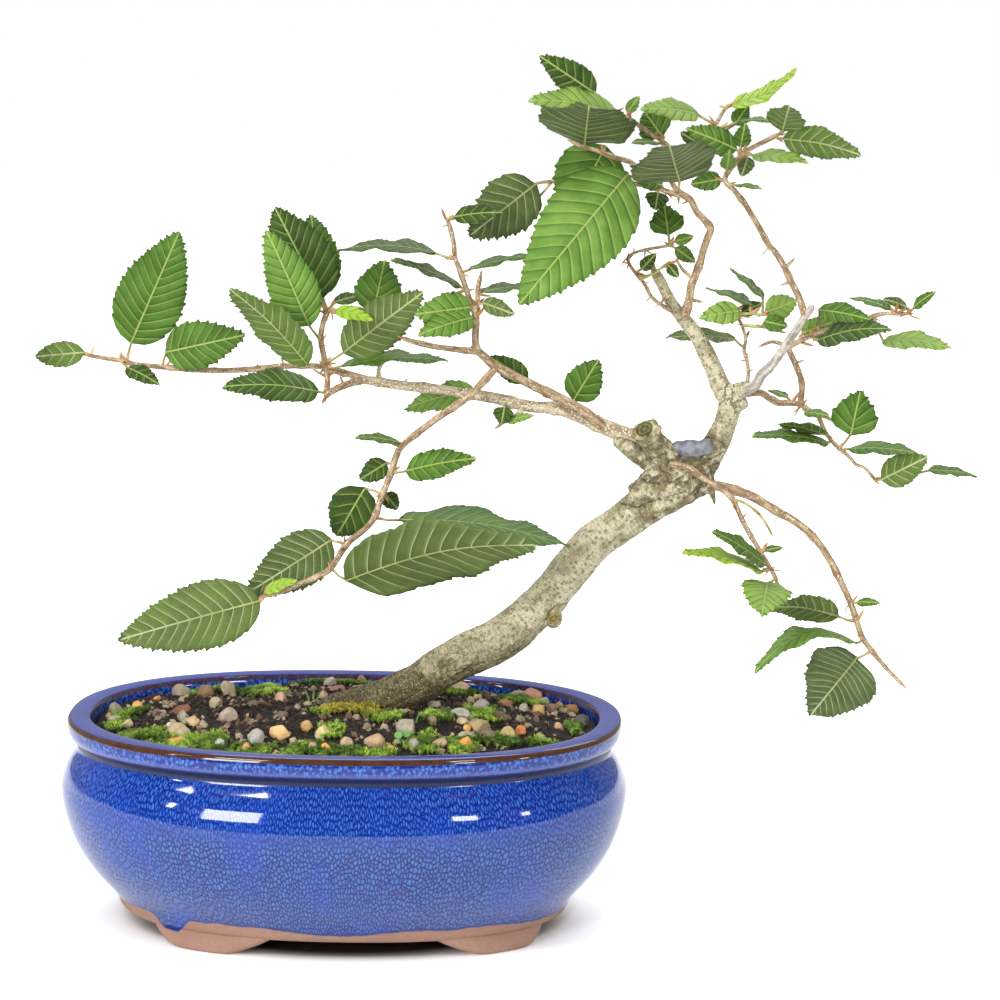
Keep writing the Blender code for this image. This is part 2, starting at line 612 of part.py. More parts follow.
fuse("spray_crown_left", stems((
    ((114.2, 206, 5.5, 3), (115, 210.5, 3, 2.9), (115.7, 214, 2, 2.8), (116.3, 218, 1, 2.7),
     (117.5, 221, 0, 2.6),
     (119, 225, 0, 2.6), (120, 229, 0, 2.5), (121.3, 233, 0, 2.5), (122.5, 236.5, 0, 2.4), (121, 239, 0, 2.4),
     (118, 242, 0, 2.3), (115.5, 246.5, 0, 2.2), (112.6, 248.2, 0, 2.1)),
    ((113.4, 247.6, 0, 2), (108, 249, -2, 1.9), (104, 250.5, -4, 1.8), (100, 251, -6, 1.7),
     (98.5, 255, -7, 1.7),
     (96, 258.5, -8, 1.7), (90, 260.3, -9, 1.6), (85, 262.3, -9, 1.5), (80.5, 263.5, -9, 1.5),
     (76, 265.5, -8, 1.2)),
    ((113.2, 248, 0, 1.9), (110, 251, 1.5, 1.8), (108.5, 256, 3, 1.7), (109, 261, 4, 1.6), (108, 264, 4, 1.6),
     (104, 267, 3, 1.5), (100, 269.5, 2, 1.5), (96, 272.5, 1, 1.4), (92, 274.5, 0, 1.4), (88, 277.5, 0, 1.3),
     (84.5, 280, 0, 1.1)),
    ((101, 251, -5.5, 1.7), (90, 252.5, -2, 1.6), (80, 253, 0, 1.5), (72, 252.5, 0, 1.4), (66, 252, 0, 1.2)),
    ((116.1, 213, 2, 1.5), (119.4, 212.4, 1, 1)),
    ((116.9, 219.8, 0.5, 1.4), (113, 223.5, -1, 1), (111.5, 226, -1, 0.9)),
)) + leaves((
    ((100, 251.3, -6), (95, 255, -13), (59, 211.5, -30), 30, 1, 3),
    ((66.5, 252, 0), (64.5, 251.5, -1), (42, 234, -8), 20, -1, 2),
    ((70, 252.4, 0), (66, 247.5, 3), (55, 240, 7), 9, -1),
    ((84.8, 279.8, 0), (84, 281.2, 0), (65.5, 293.5, -4), 11, 1),
    ((91, 275.2, 0), (91, 274.5, -4), (62, 279, -14), 10, 1, 2),
    ((80.5, 263.5, -9), (80.5, 264.5, -13), (82, 277, -62), 32, -1, 3),
    ((87, 261.5, -9), (87.5, 264, -7), (74, 238, -6), 24, 1, 2),
    ((95, 273, 0.8), (94.5, 275, 1), (98.5, 280.3, 4), 4, 1),
    ((106, 265.5, 3.6), (106.3, 267, 6), (100, 275.5, 13), 12, 1),
    ((106.5, 265, 3.6), (105, 265, 0), (96, 265, -8), 2, 1),
    ((111.5, 248.6, -0.5), (112, 252.3, -10), (108.5, 264.5, -55), 29, -1, 2),
    ((107, 249.3, -2.4), (106.5, 251, -4), (96, 254.5, -9), 6, 1),
    ((105, 250, -3.5), (105, 248.8, -5), (104, 243, -11), 8, 1),
)), twig_bark, wood_gap())


# Right half of the crown

fuse("spray_crown_right", stems((
    ((154.3, 207.5, -9, 2.5), (152, 214, -8, 2.3), (149.5, 219, -7, 2.2), (147, 224, -6, 2.1),
     (144, 229, -5, 2.1),
     (142, 231, -5, 2), (138, 238, -4, 2), (134, 244.5, -3, 1.9), (132, 247, -2, 1.9), (130, 249.5, -1, 1.8),
     (127, 253, 0, 1.8), (130, 258, 0, 1.6), (133, 261.5, 0, 1.5), (136, 263.5, 0, 1.5), (140, 265.5, 0, 1.4),
     (145, 268, 0, 1.2)),
    ((130, 257.8, 0, 1.5), (127.5, 264, 3, 1.3), (125, 268, 4, 1.3), (124, 271, 4, 1.2),
     (127, 276.5, 3, 1.1)),
    ((147.2, 223.5, -6, 1.4), (150, 226.5, -7, 1)),
    ((149.3, 219.2, -7, 1.4), (146.8, 218.2, -8, 1)),
)) + leaves((
    ((126.8, 276.2, 3), (128.5, 277.5, 3), (150, 289.5, -3), 4.5, 1, -2.5),
    ((125, 268.3, 4), (130, 270.8, 5), (134.5, 277.5, 9), 6, 1),
    ((124.6, 269.5, 4), (131, 272.3, 2), (144, 272, -6), 1.5, 1),
    ((144.6, 267.8, 0), (145.8, 269, -3), (148, 277, -24), 13, -1),
    ((143, 267, 0), (146, 266.4, -2), (172, 261, -8), 10.5, -1, 2),
    ((133.4, 261.8, 0), (136, 261, -3), (154.5, 258.7, -13), 4.5, 1),
    ((133.4, 261.8, 0), (134.6, 260.5, 2), (132.5, 254, 8), 6, -1),
    ((132.6, 261.2, 0), (131, 262.8, -2), (114, 269.8, -8), 9, 1),
    ((131.8, 260, 0), (132, 263.5, -1), (133.5, 271.5, -6), 6, 1),
    ((126.2, 266, 3.5), (119.5, 264.2, 9), (112, 268.5, 14), 5, 1),
    ((127.6, 254, 0), (127.6, 256, -3), (128.5, 262.5, -9), 5, 1),
    ((127.8, 252.2, 0), (126, 253.2, 3), (115.5, 251.3, 7), 6.5, 1),
    ((128.4, 251.5, -0.5), (130.5, 251.2, -3), (139.5, 249.8, -9), 1.5, 1),
    ((123.8, 271, 4), (118, 274.5, 2), (99, 276.2, -9), 7, 1, 1),
)), twig_bark, wood_gap())


# Short leafy tuft beside the cut end of the upper limb

fuse("spray_tuft", stems((
    ((110.4, 209, 6, 1.6), (106, 211.5, 2, 1.3), (103, 214, 1, 1.2), (100.5, 218.5, 1, 1.2),
     (97.5, 222, 1, 1.1),
     (95.5, 225, 1, 1.1), (95, 227, 2, 1.1), (97, 228.5, 3, 1), (101, 229.7, 3.5, 1), (109.5, 231.2, 4, 1)),
    ((99.2, 220, 1, 1.1), (104, 222, -1, 1), (108, 225, -1, 1)),
)) + leaves((
    ((109, 231, 4), (108.5, 234.5, 5), (107, 244.5, 9), 12, 1),
    ((108.5, 231, 4), (110.5, 232.4, 6), (117, 234.2, 9), 4, 1),
    ((109, 231, 4), (110.8, 230.4, 7), (117.5, 225.5, 12), 5, 1),
    ((97.6, 222, 1), (99.5, 223, -1), (104.5, 228.5, -5), 4.5, 1),
    ((107.6, 224.6, -1), (108.5, 224.6, -2), (112, 220.5, -5), 4, 1),
)), twig_bark, wood_gap())


# Thin twig and its small leaves in the middle of the right side

fuse("spray_right_middle", stems((
    ((135.2, 184, 1, 1.5), (135.5, 189, 1.5, 1.2), (135, 193, 1.5, 1.2), (134, 196, 1.5, 1.2),
     (134.5, 200, 1.5, 1.1),
     (133, 205, 1, 1.1), (131, 208.2, 1, 1), (131, 210, 1, 1)),
    ((131.2, 208, 1, 1.1), (136, 208.5, -1, 1), (140.4, 208, -2, 1)),
    ((133.4, 204.4, 1, 1.1), (140, 204, 0, 1), (146.5, 202.4, -1, 1)),
)) + leaves((
    ((135.8, 208.4, -1), (137, 211, 1), (121, 217, 6), 2, 1),
    ((131, 209.6, 1), (135.5, 212.8, 5), (124, 216.6, 12), 2, 1),
    ((140, 208, -2), (140.5, 213.5, 0), (129, 223.5, 6), 2.5, 1),
    ((132, 208.2, 0.6), (132.5, 209.5, -3), (119, 207, -13), 8, 1),
    ((134.2, 197, 1.5), (131, 200.3, 11), (108, 200.5, 23), 4.5, -1),
    ((140, 208, -2), (141, 208.8, -1), (151.5, 213, 4), 9, 1),
    ((131, 208.6, 1), (133, 208.8, 4), (140, 212, 10), 5, 1),
    ((140, 204.1, 0), (140.5, 206, -3), (148.5, 204.2, -1), 6, 1),
)), twig_bark, wood_gap())


# Right twig that droops, with a second twig rising from it

fuse("spray_right_lower", stems(TWIG_RIGHT) + leaves((
    ((150, 178.6, 4), (149, 180.4, 6), (142, 183, 11), 2, 1),
    ((153.4, 177.8, 4), (154.5, 175.4, 0), (163, 174, -7), 3, 1),
    ((166.4, 163.2, 1), (170, 167.5, 1), (173, 182.5, 3), 16, 1),
    ((162.6, 167.4, 3), (161.5, 168, 0), (145.5, 171.5, -7), 3.5, -1),
    ((164, 165.6, 2), (162.5, 165.2, -1), (137, 167.5, -12), 4, 1),
    ((167, 162.7, 1), (169.5, 163.2, -1), (193.5, 161.5, -11), 4.5, 1),
    ((178.6, 152.5, -3), (180.5, 152.6, -5), (196, 160.5, -12), 11, -1),
    ((178.4, 152.7, -3), (196, 156, 3), (212.8, 154, 6), 3, 1),
)), twig_bark, wood_gap())

fuse("spray_right_upper", stems((
    ((153, 177.8, 4, 2.1), (153.5, 183, 5, 2), (153, 187, 4, 2), (151, 192, 3, 2), (149, 197, 1, 1.9),
     (152, 199, 1, 1.9), (156, 201, 1, 1.8), (160, 202.5, 1, 1.8), (165, 203.5, 0, 1.7), (170, 205, 0, 1.6),
     (175, 207, -1, 1.5), (180, 208.5, -2, 1.4), (184, 208.5, -2, 1.3), (189, 208.5, -2, 1.1)),
    ((149.6, 196.8, 1, 1.5), (146, 198.5, 2, 1.2), (143, 199, 3.5, 1.2), (139.5, 197.6, 5, 1)),
)) + leaves((
    ((159, 202.2, 1), (158.5, 209.8, -1), (176, 206.5, -9), 7, 1),
    ((152.4, 199.2, 1), (153, 201.8, 4), (166, 206.5, 10), 7, 1),
    ((156, 201, 1), (158.5, 199.6, -3), (183, 203.5, -14), 8, 1, 2),
    ((177, 207.6, -1.5), (180, 199, -7), (203, 197, -16), 6, 1, 2),
    ((184, 208.5, -2), (183, 210, 0), (169, 214, 8), 2.5, 1),
    ((188.6, 208.5, -2), (188, 211, -1), (180, 213.5, 4), 3.5, -1),
    ((188.6, 208.5, -2), (190, 210.5, -3), (197.5, 216, -7), 3.5, 1),
)), twig_bark, wood_gap() + stems(TWIG_RIGHT[:1], TWIG_GAP))


# Long twig falling to the lower right

fuse("spray_lower_right", stems((
    ((118, 151.5, -2, 4), (128, 150, -5, 3.2), (133, 148.5, -7, 3.1), (138, 146.5, -9, 3),
     (143, 143.5, -10, 2.9),
     (147, 141, -11, 2.8), (150, 139.5, -12, 2.7), (155, 136, -13, 2.6), (158, 133, -14, 2.5),
     (161, 129.5, -15, 2.4),
     (164, 125, -15, 2.4), (166.5, 120, -16, 2.3), (169, 115, -16, 2.2), (171, 110.5, -17, 2.1),
     (173, 105, -17, 2),
     (175, 99, -18, 1.9), (179, 93.5, -18, 1.7), (184, 87.5, -18, 1.5), (189, 82.5, -18, 1.2)),
)) + leaves((
    ((173, 104, -17), (167, 106, -19), (144, 109, -28), 9, -1, 2),
    ((171, 110.5, -17), (173, 110.8, -19), (181, 110.5, -23), 3, 1),
    ((175.6, 98, -18), (173.5, 96.8, -21), (139, 86.5, -33), 6, 1, 8),
    ((178.6, 94, -18), (173.5, 91.5, -16), (158, 71.5, 16), 26, -1, 2),
)), twig_bark, wood_gap())


# Thin twig hanging from the crotch

fuse("spray_hanging", stems((
    ((107, 158, -5, 2.4), (115, 156.8, -9.4, 2.1), (120, 153.5, -10.6, 2.1), (124, 151, -11.4, 2),
     (128, 148.5, -12, 2), (131, 145.5, -13, 1.9), (134, 139, -14, 1.8), (137, 133.5, -15, 1.7),
     (141, 127, -16, 1.5),
     (144, 122, -17, 1.4), (146, 118, -18, 1.3)),
    ((130.8, 145.6, -13, 1.2), (135, 144.5, -15, 1), (140, 140.5, -16, 1), (143, 136, -17, 0.9),
     (144, 134, -17, 0.9)),
)) + leaves((
    ((143.6, 122.6, -17), (142, 123.6, -19), (124, 135, -28), 5, 1),
    ((144, 122, -17), (141, 121.2, -20), (114, 127.7, -32), 4, 1, 2),
    ((142.6, 124.4, -16.5), (142, 124.2, -14), (135, 125.5, -8), 3, -1),
    ((140.6, 127.6, -16), (142, 128.4, -15), (148, 129.5, -12), 2.5, 1),
    ((145.6, 118.6, -18), (143, 117.5, -20), (141, 106, -48), 17, 1, 2),
)), twig_bark, wood_gap())


# Stand the whole object on z = 0 with its middle over the origin

corners = [obj.matrix_world @ vert.co for obj in whole.objects for vert in obj.data.vertices]
low = Vector(min(c[k] for c in corners) for k in range(3))
high = Vector(max(c[k] for c in corners) for k in range(3))
shift = Vector((-(low.x + high.x) / 2, -(low.y + high.y) / 2, -low.z))
for obj in whole.objects:
    obj.data.transform(Matrix.Translation(shift))
print("size", [round(v / MM, 2) for v in high - low], "shift", [round(v / MM, 2) for v in shift])
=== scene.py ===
"""Dressed model of a small broadleaf bonsai in its oval glazed pot.

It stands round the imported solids: the pot, soil, trunk, limbs and leafy stems are each
drawn again here in fine detail, at the same places and the same sizes.
"""
import math
import random

import bmesh
import bpy
from mathutils import Matrix, Vector, noise
from mathutils.bvhtree import BVHTree
from mathutils.interpolate import poly_3d_calc
from mathutils.kdtree import KDTree


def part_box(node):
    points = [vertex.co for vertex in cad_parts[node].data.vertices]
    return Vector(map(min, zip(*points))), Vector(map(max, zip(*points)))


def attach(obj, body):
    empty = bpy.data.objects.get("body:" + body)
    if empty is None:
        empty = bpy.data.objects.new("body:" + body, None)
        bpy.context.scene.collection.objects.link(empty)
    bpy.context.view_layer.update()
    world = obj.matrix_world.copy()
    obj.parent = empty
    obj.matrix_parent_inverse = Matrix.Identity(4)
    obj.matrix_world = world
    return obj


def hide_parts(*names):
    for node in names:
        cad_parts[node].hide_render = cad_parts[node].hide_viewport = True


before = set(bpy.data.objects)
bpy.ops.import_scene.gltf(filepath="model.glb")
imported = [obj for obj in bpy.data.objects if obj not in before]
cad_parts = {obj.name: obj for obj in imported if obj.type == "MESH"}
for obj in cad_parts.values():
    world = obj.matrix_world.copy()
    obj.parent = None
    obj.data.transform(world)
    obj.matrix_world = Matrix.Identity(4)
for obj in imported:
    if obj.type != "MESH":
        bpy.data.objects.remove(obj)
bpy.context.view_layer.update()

# The studio: a white table that ends a little before the pot, a dark room in front of it and
# a pale one behind it. The camera stands at the height and distance of the photograph.

MM = 0.001
pot_low, pot_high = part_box("pot")
POT = Vector(((pot_low.x + pot_high.x) / 2, (pot_low.y + pot_high.y) / 2, 0.0))

# The front view, in millimetres: how far across, away and up the eye is, where the pot's middle
# lies (across, depth), and what shows at the middle of the frame (across, up).
EYE_ACROSS = 75.0
EYE_DISTANCE = 1000.0
EYE_HEIGHT = 298.0
POT_ASIDE = (0.9, -1.0)
VIEW_MIDDLE = (52.5, 145.6)
VIEW_YAW = math.radians(1.29)
VIEW_DOWN = math.radians(8.68)
VIEW_LEAN = math.radians(0.77)
LENS = 108.0
FILM_WIDTH = 36.0
EYE = Vector((EYE_ACROSS - POT_ASIDE[0], -EYE_DISTANCE - POT_ASIDE[1], EYE_HEIGHT))


def tint(code):
    """A colour from its usual six-figure code."""
    parts = [int(code[i:i + 2], 16) / 255 for i in (0, 2, 4)]
    return (*[p / 12.92 if p <= 0.04045 else ((p + 0.055) / 1.055) ** 2.4 for p in parts], 1.0)


class Shade:
    """A socket of a node tree: Python's operators on it add Math nodes, node() adds any other."""

    def __init__(self, tree, socket=None):
        self.tree = tree
        self.socket = socket

    def node(self, kind, settings=None, sockets=None, out=0):
        made = self.tree.nodes.new(kind)
        for key, value in (settings or {}).items():
            if key == "stops":
                ramp = made.color_ramp.elements
                while len(ramp) < len(value):
                    ramp.new(1.0)
                for stop, (place, colour) in zip(ramp, value):
                    stop.position = place
                    stop.color = colour
            else:
                setattr(made, key, value)
        for key, value in (sockets or {}).items():
            if isinstance(value, Shade):
                self.tree.links.new(value.socket, made.inputs[key])
            else:
                made.inputs[key].default_value = value
        return Shade(self.tree, made.outputs[out])

    def math(self, operation, *parts):
        return self.node("ShaderNodeMath", {"operation": operation}, dict(enumerate(parts)))

    def __add__(self, other):
        return self.math("ADD", self, other)

    def __sub__(self, other):
        return self.math("SUBTRACT", self, other)

    def __rsub__(self, other):
        return self.math("SUBTRACT", other, self)

    def __mul__(self, other):
        return self.math("MULTIPLY", self, other)

    def __abs__(self):
        return self.math("ABSOLUTE", self)

    __radd__ = __add__
    __rmul__ = __mul__

    def place(self):
        return self.node("ShaderNodeTexCoord", out="Object")

    def stretched(self, scale):
        return self.node("ShaderNodeMapping", {}, {"Vector": self.place(), "Scale": scale})

    def grain(self, scale, detail=3.0, stretch=(1, 1, 1)):
        """Noise from 0 to 1, with so many lumps in a metre."""
        return self.node("ShaderNodeTexNoise", {},
                         {"Vector": self.stretched(stretch), "Scale": scale, "Detail": detail})

    def cells(self, scale, feature="F1", stretch=(1, 1, 1), warp=0.0):
        """Cells, so many in a metre, with edges that a noise bends by `warp` metres."""
        bend = self.node("ShaderNodeTexNoise", {},
                         {"Vector": self.place(), "Scale": scale * 1.3, "Detail": 1.0}, out="Color")
        bend = self.node("ShaderNodeVectorMath", {"operation": "MULTIPLY_ADD"},
                         {0: bend, 1: (warp, warp, warp), 2: self.stretched(stretch)})
        return self.node("ShaderNodeTexVoronoi", {"feature": feature}, {"Vector": bend, "Scale": scale})

    def ease(self, low, high, start=0.0, end=1.0):
        """A soft step from start to end while this value goes from low to high."""
        return self.node("ShaderNodeMapRange", {"interpolation_type": "SMOOTHSTEP"},
                         {0: self, 1: low, 2: high, 3: start, 4: end})

    def blend(self, first, second):
        """One colour or another by this value."""
        return self.node("ShaderNodeMix", {"data_type": "RGBA"}, {0: self, 6: first, 7: second}, out=2)

    def carried(self, name):
        """A number that the mesh carries on its points."""
        return self.node("ShaderNodeAttribute", {"attribute_name": name}, out="Fac")

    def along(self, axis):
        """How far a point of the surface lies along X, Y or Z, in metres."""
        return self.node("ShaderNodeSeparateXYZ", {}, {0: self.place()}, out=axis)

    def away_from(self, spot):
        """How far a point of the surface is from a spot, in metres."""
        return self.node("ShaderNodeVectorMath", {"operation": "DISTANCE"}, {0: self.place(), 1: spot},
                         out="Value")


def finish(name, roughness, paint, height=None, depth=0.0002, **fixed):
    """A material: paint(shade) gives its colour, or colour and roughness, height(shade) its relief."""
    mat = bpy.data.materials.new(name)
    mat.use_nodes = True
    shader = mat.node_tree.nodes["Principled BSDF"]
    shade = Shade(mat.node_tree)
    shader.inputs["Roughness"].default_value = roughness
    for key, value in fixed.items():
        shader.inputs[key.replace("_", " ")].default_value = value
    colour = paint(shade)
    links = mat.node_tree.links
    if isinstance(colour, tuple):
        colour, rough = colour
        links.new(rough.socket, shader.inputs["Roughness"])
    links.new(colour.socket, shader.inputs["Base Color"])
    if height:
        relief = shade.node("ShaderNodeBump", {}, {"Height": height(shade), "Distance": depth,
                                                   "Strength": 1.0})
        links.new(relief.socket, shader.inputs["Normal"])
    return mat


def add(name, data):
    obj = bpy.data.objects.new(name, data)
    bpy.context.scene.collection.objects.link(obj)
    return obj


def from_bmesh(name, bm, smooth=True):
    mesh = bpy.data.meshes.new(name)
    bm.to_mesh(mesh)
    bm.free()
    mesh.shade_smooth() if smooth else mesh.shade_flat()
    return add(name, mesh)


def baked(obj):
    """The object with its modifiers applied, as a plain mesh."""
    deps = bpy.context.evaluated_depsgraph_get()
    mesh = bpy.data.meshes.new_from_object(obj.evaluated_get(deps))
    name = obj.name
    bpy.data.objects.remove(obj)
    mesh.name = name
    return add(name, mesh)


def dress(obj, slot, *nodes, mats=()):
    """Give a finished piece its materials and the solids that it stands for; its slot is not used."""
    if mats:
        obj.data.materials.clear()
        for mat in mats:
            obj.data.materials.append(mat)
    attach(obj, "root")
    if nodes:
        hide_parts(*nodes)


camera_data = bpy.data.cameras.new("camera")
camera_data.lens = LENS
camera_data.sensor_width = FILM_WIDTH
camera = add("camera", camera_data)
camera.matrix_world = (Matrix.Translation(POT + EYE * MM)
                       @ Matrix.Rotation(VIEW_YAW, 4, "Z") @ Matrix.Rotation(math.pi / 2 - VIEW_DOWN, 4, "X")
                       @ Matrix.Rotation(VIEW_LEAN, 4, "Z"))
bpy.context.scene.camera = camera
bpy.context.scene.view_settings.view_transform = "Standard"


def sight(x, z):
    """The camera's way through what shows at (across, up) in the front view."""
    right = (x - VIEW_MIDDLE[0]) / EYE_DISTANCE
    up = (z - VIEW_MIDDLE[1]) / EYE_DISTANCE
    return camera.matrix_world.to_3x3() @ Vector((right, up, -1))


LAMP_AIM = Vector((0, 0, 0.12))


def hang_lamp(name, place, wide, tall, power):
    """A flat lamp, its sizes and place in metres, turned to the middle of the tree."""
    lamp = bpy.data.lights.new(name, "AREA")
    lamp.shape = "RECTANGLE"
    lamp.size = wide
    lamp.size_y = tall
    lamp.energy = power
    holder = add(name, lamp)
    holder.location = place
    holder.rotation_euler = (LAMP_AIM - place).to_track_quat("-Z", "Y").to_euler()


hang_lamp("rear light", Vector((0.2, 1.0, 1.2)), 1.2, 0.8, 8.0)

sky = bpy.data.worlds.new("white room")
sky.use_nodes = True
bpy.context.scene.world = sky
glow = sky.node_tree.nodes["Background"]
glow.inputs["Color"].default_value = (1, 1, 1, 1)
room = Shade(sky.node_tree)
ROOM_LIGHT = 0.5
direction = room.node("ShaderNodeTexCoord", out="Generated")
toward_back = room.node("ShaderNodeSeparateXYZ", {}, {0: direction}, out="Y")
mirrored = room.node("ShaderNodeLightPath", out="Is Glossy Ray")
camera_ray = room.node("ShaderNodeLightPath", out="Is Camera Ray")
in_mirror = toward_back.ease(-0.25, 0.35, 0.04, 0.42)
dim = room.node("ShaderNodeMix", {}, {0: mirrored, 2: ROOM_LIGHT, 3: in_mirror})
full = room.node("ShaderNodeMix", {}, {0: camera_ray, 2: dim, 3: 1.0})
sky.node_tree.links.new(full.socket, glow.inputs["Strength"])

TABLE_FRONT = -0.25
TABLE_END = 6.0
bm = bmesh.new()
bm.faces.new([bm.verts.new((x, y, 0.0)) for x, y in (
    (-TABLE_END, TABLE_FRONT), (TABLE_END, TABLE_FRONT), (TABLE_END, TABLE_END), (-TABLE_END, TABLE_END))])
floor = from_bmesh("table_top", bm, False)
STANDING_OVAL = (0.079, 0.055, 1.0)


def table_glow_and_painted_shadow(s):
    """Light from the table itself, none under the pot and full far away, and how white it is: both make a
    painted shadow under the pot.
    """
    spot = s.node("ShaderNodeVectorMath", {"operation": "SUBTRACT"}, {0: s.place(), 1: POT})
    spread = s.node("ShaderNodeVectorMath", {"operation": "DIVIDE"}, {0: spot, 1: STANDING_OVAL})
    away = s.node("ShaderNodeVectorMath", {"operation": "LENGTH"}, {0: spread}, out="Value")
    return away.ease(0.85, 1.2, 0.0, 0.36) + away.ease(1.7, 9.0, 0.0, 0.55), away.ease(0.76, 1.0)


# The table's colour and glow hold a painted shadow under the pot.
white = finish("white table", 0.8, lambda s: table_glow_and_painted_shadow(s)[1].blend(tint("2c2320"), tint("f8f8f8")),
               Emission_Strength=1.0, Specular_IOR_Level=0.1)
tree = white.node_tree
tree.links.new(table_glow_and_painted_shadow(Shade(tree))[0].socket, tree.nodes["Principled BSDF"].inputs["Emission Color"])
floor.data.materials.append(white)


# Pot: stoneware thrown oval and pressed, with a rolled lip over a waist, four bracket feet
# luted under it, dipped in a blue glaze that runs into pale drops and stops above the feet.

RIM_HALF_LENGTH = 94.1
RIM_HALF_DEPTH = 70.0
OVAL_POWER = 2.3
FOOT_REACH = 77.4
FOOT_DEPTH = 12.0
FOOT_TOP = 7.2
FOOT_ARCS = ((217, 256.5), (294, 335), (25, 66), (103.5, 140.5))
DRAIN_RADIUS = 8.0
DRAIN_OFFSET = 38.0
AROUND = 168
POT_OUTSIDE = (
    (72.4, 5.2), (74.6, 5.6), (76.2, 6.5), (77.0, 7.8), (77.7, 9.6), (79.2, 12.0), (81.4, 14.6), (84.1, 17.6),
    (87.2, 21.6), (90.2, 26.5), (92.5, 31.2), (94.2, 36.0), (95.5, 41.0), (96.2, 46.0), (96.1, 49.6),
    (95.3, 53.2), (94.1, 56.0), (92.6, 58.6), (91.4, 60.5), (90.8, 61.7), (90.75, 62.6), (91.4, 63.6),
    (92.4, 64.5), (93.2, 65.5), (93.8, 66.8), (94.15, 68.4), (94.2, 69.6), (94.1, 70.4), (93.7, 71.1),
    (93.1, 71.45))
POT_INSIDE = (
    (92.0, 71.55), (88.0, 71.55), (86.6, 71.3), (86.0, 70.6), (85.8, 68.0), (85.4, 60.0), (83.9, 34.0),
    (75.4, 18.0), (68.9, 13.5))


def oval_spot(reach, turn, z):
    """A place on a full oval whose length and depth both step in from the rim by the same amount."""
    depth = reach - RIM_HALF_LENGTH + RIM_HALF_DEPTH
    across = math.cos(turn)
    inward = math.sin(turn)
    return POT + Vector((math.copysign(reach * abs(across) ** (2 / OVAL_POWER), across),
                         math.copysign(depth * abs(inward) ** (2 / OVAL_POWER), inward), z)) * MM


def oval(reach, z, around=AROUND):
    return [oval_spot(reach, math.tau * i / around, z) for i in range(around)]


def skin(bm, rings):
    """Join rings of vertices into a closed skin."""
    for low, high in zip(rings, rings[1:]):
        for i in range(len(low)):
            j = (i + 1) % len(low)
            bm.faces.new((low[i], low[j], high[j], high[i]))
    bm.faces.new(rings[0][::-1])
    bm.faces.new(rings[-1])


def loft(rings):
    """A closed skin over rings of points, as a bmesh."""
    bm = bmesh.new()
    skin(bm, [[bm.verts.new(point) for point in ring] for ring in rings])
    bmesh.ops.recalc_face_normals(bm, faces=bm.faces)
    return bm


def foot_rings(first, last):
    """A bracket foot along the edge of the underside, its toes rounded up at both ends."""
    rings = []
    steps = 30
    section = ((2.4, FOOT_TOP), (1.0, 5.3), (0.2, 3.4), (0.0, 1.8), (0.4, 0.5), (1.2, 0.0),
               (FOOT_DEPTH - 1, 0.0), (FOOT_DEPTH, 0.8), (FOOT_DEPTH, FOOT_TOP))
    for i in range(steps + 1):
        t = i / steps
        end = min(t / 0.36, (1 - t) / 0.32, 1.0)
        rise = 5.4 * (1 - end) ** 1.6 - 0.02
        a = math.radians(first + (last - first) * t)
        ring = []
        for inset, z in section:
            reach = FOOT_REACH - inset - 0.5 * max(0.0, rise)
            ring.append(oval_spot(reach, a, max(z, min(z + rise, FOOT_TOP - 0.2))))
        rings.append(ring)
    return rings


pot = from_bmesh("pot_body", loft([oval(reach, z) for reach, z in POT_OUTSIDE + POT_INSIDE]))
joined = [("UNION", from_bmesh("foot", loft(foot_rings(first, last)))) for first, last in FOOT_ARCS]
for hand in (-1, 1):
    bm = bmesh.new()
    bmesh.ops.create_cone(bm, cap_ends=True, segments=48, radius1=DRAIN_RADIUS * MM,
                          radius2=DRAIN_RADIUS * MM, depth=30 * MM,
                          matrix=Matrix.Translation(POT + Vector((hand * DRAIN_OFFSET, 0, 10)) * MM))
    joined.append(("DIFFERENCE", from_bmesh("drain", bm)))
for operation, tool in joined:
    cut = pot.modifiers.new(tool.name, "BOOLEAN")
    cut.operation = operation
    cut.object = tool
    cut.solver = "EXACT"
pot = baked(pot)
for operation, tool in joined:
    bpy.data.objects.remove(tool)
pot.data.shade_smooth()
pot.data.set_sharp_from_angle(angle=math.radians(38))


def reach_of(x, y):
    """The full oval that passes through a point, named by its half length, in millimetres."""
    reach = 90.0
    for _ in range(12):
        depth = reach - RIM_HALF_LENGTH + RIM_HALF_DEPTH
        share = (abs(x) / reach) ** OVAL_POWER + (abs(y) / depth) ** OVAL_POWER
        reach = max(40.0, reach * share ** 0.4)
    return reach


carried_reach = pot.data.attributes.new("reach", "FLOAT", "POINT")
for vert, value in zip(pot.data.vertices, carried_reach.data):
    spot = (vert.co - POT) / MM
    value.value = reach_of(spot.x, spot.y) if spot.z > 60 else 0.0


NET_RADIUS = 0.084


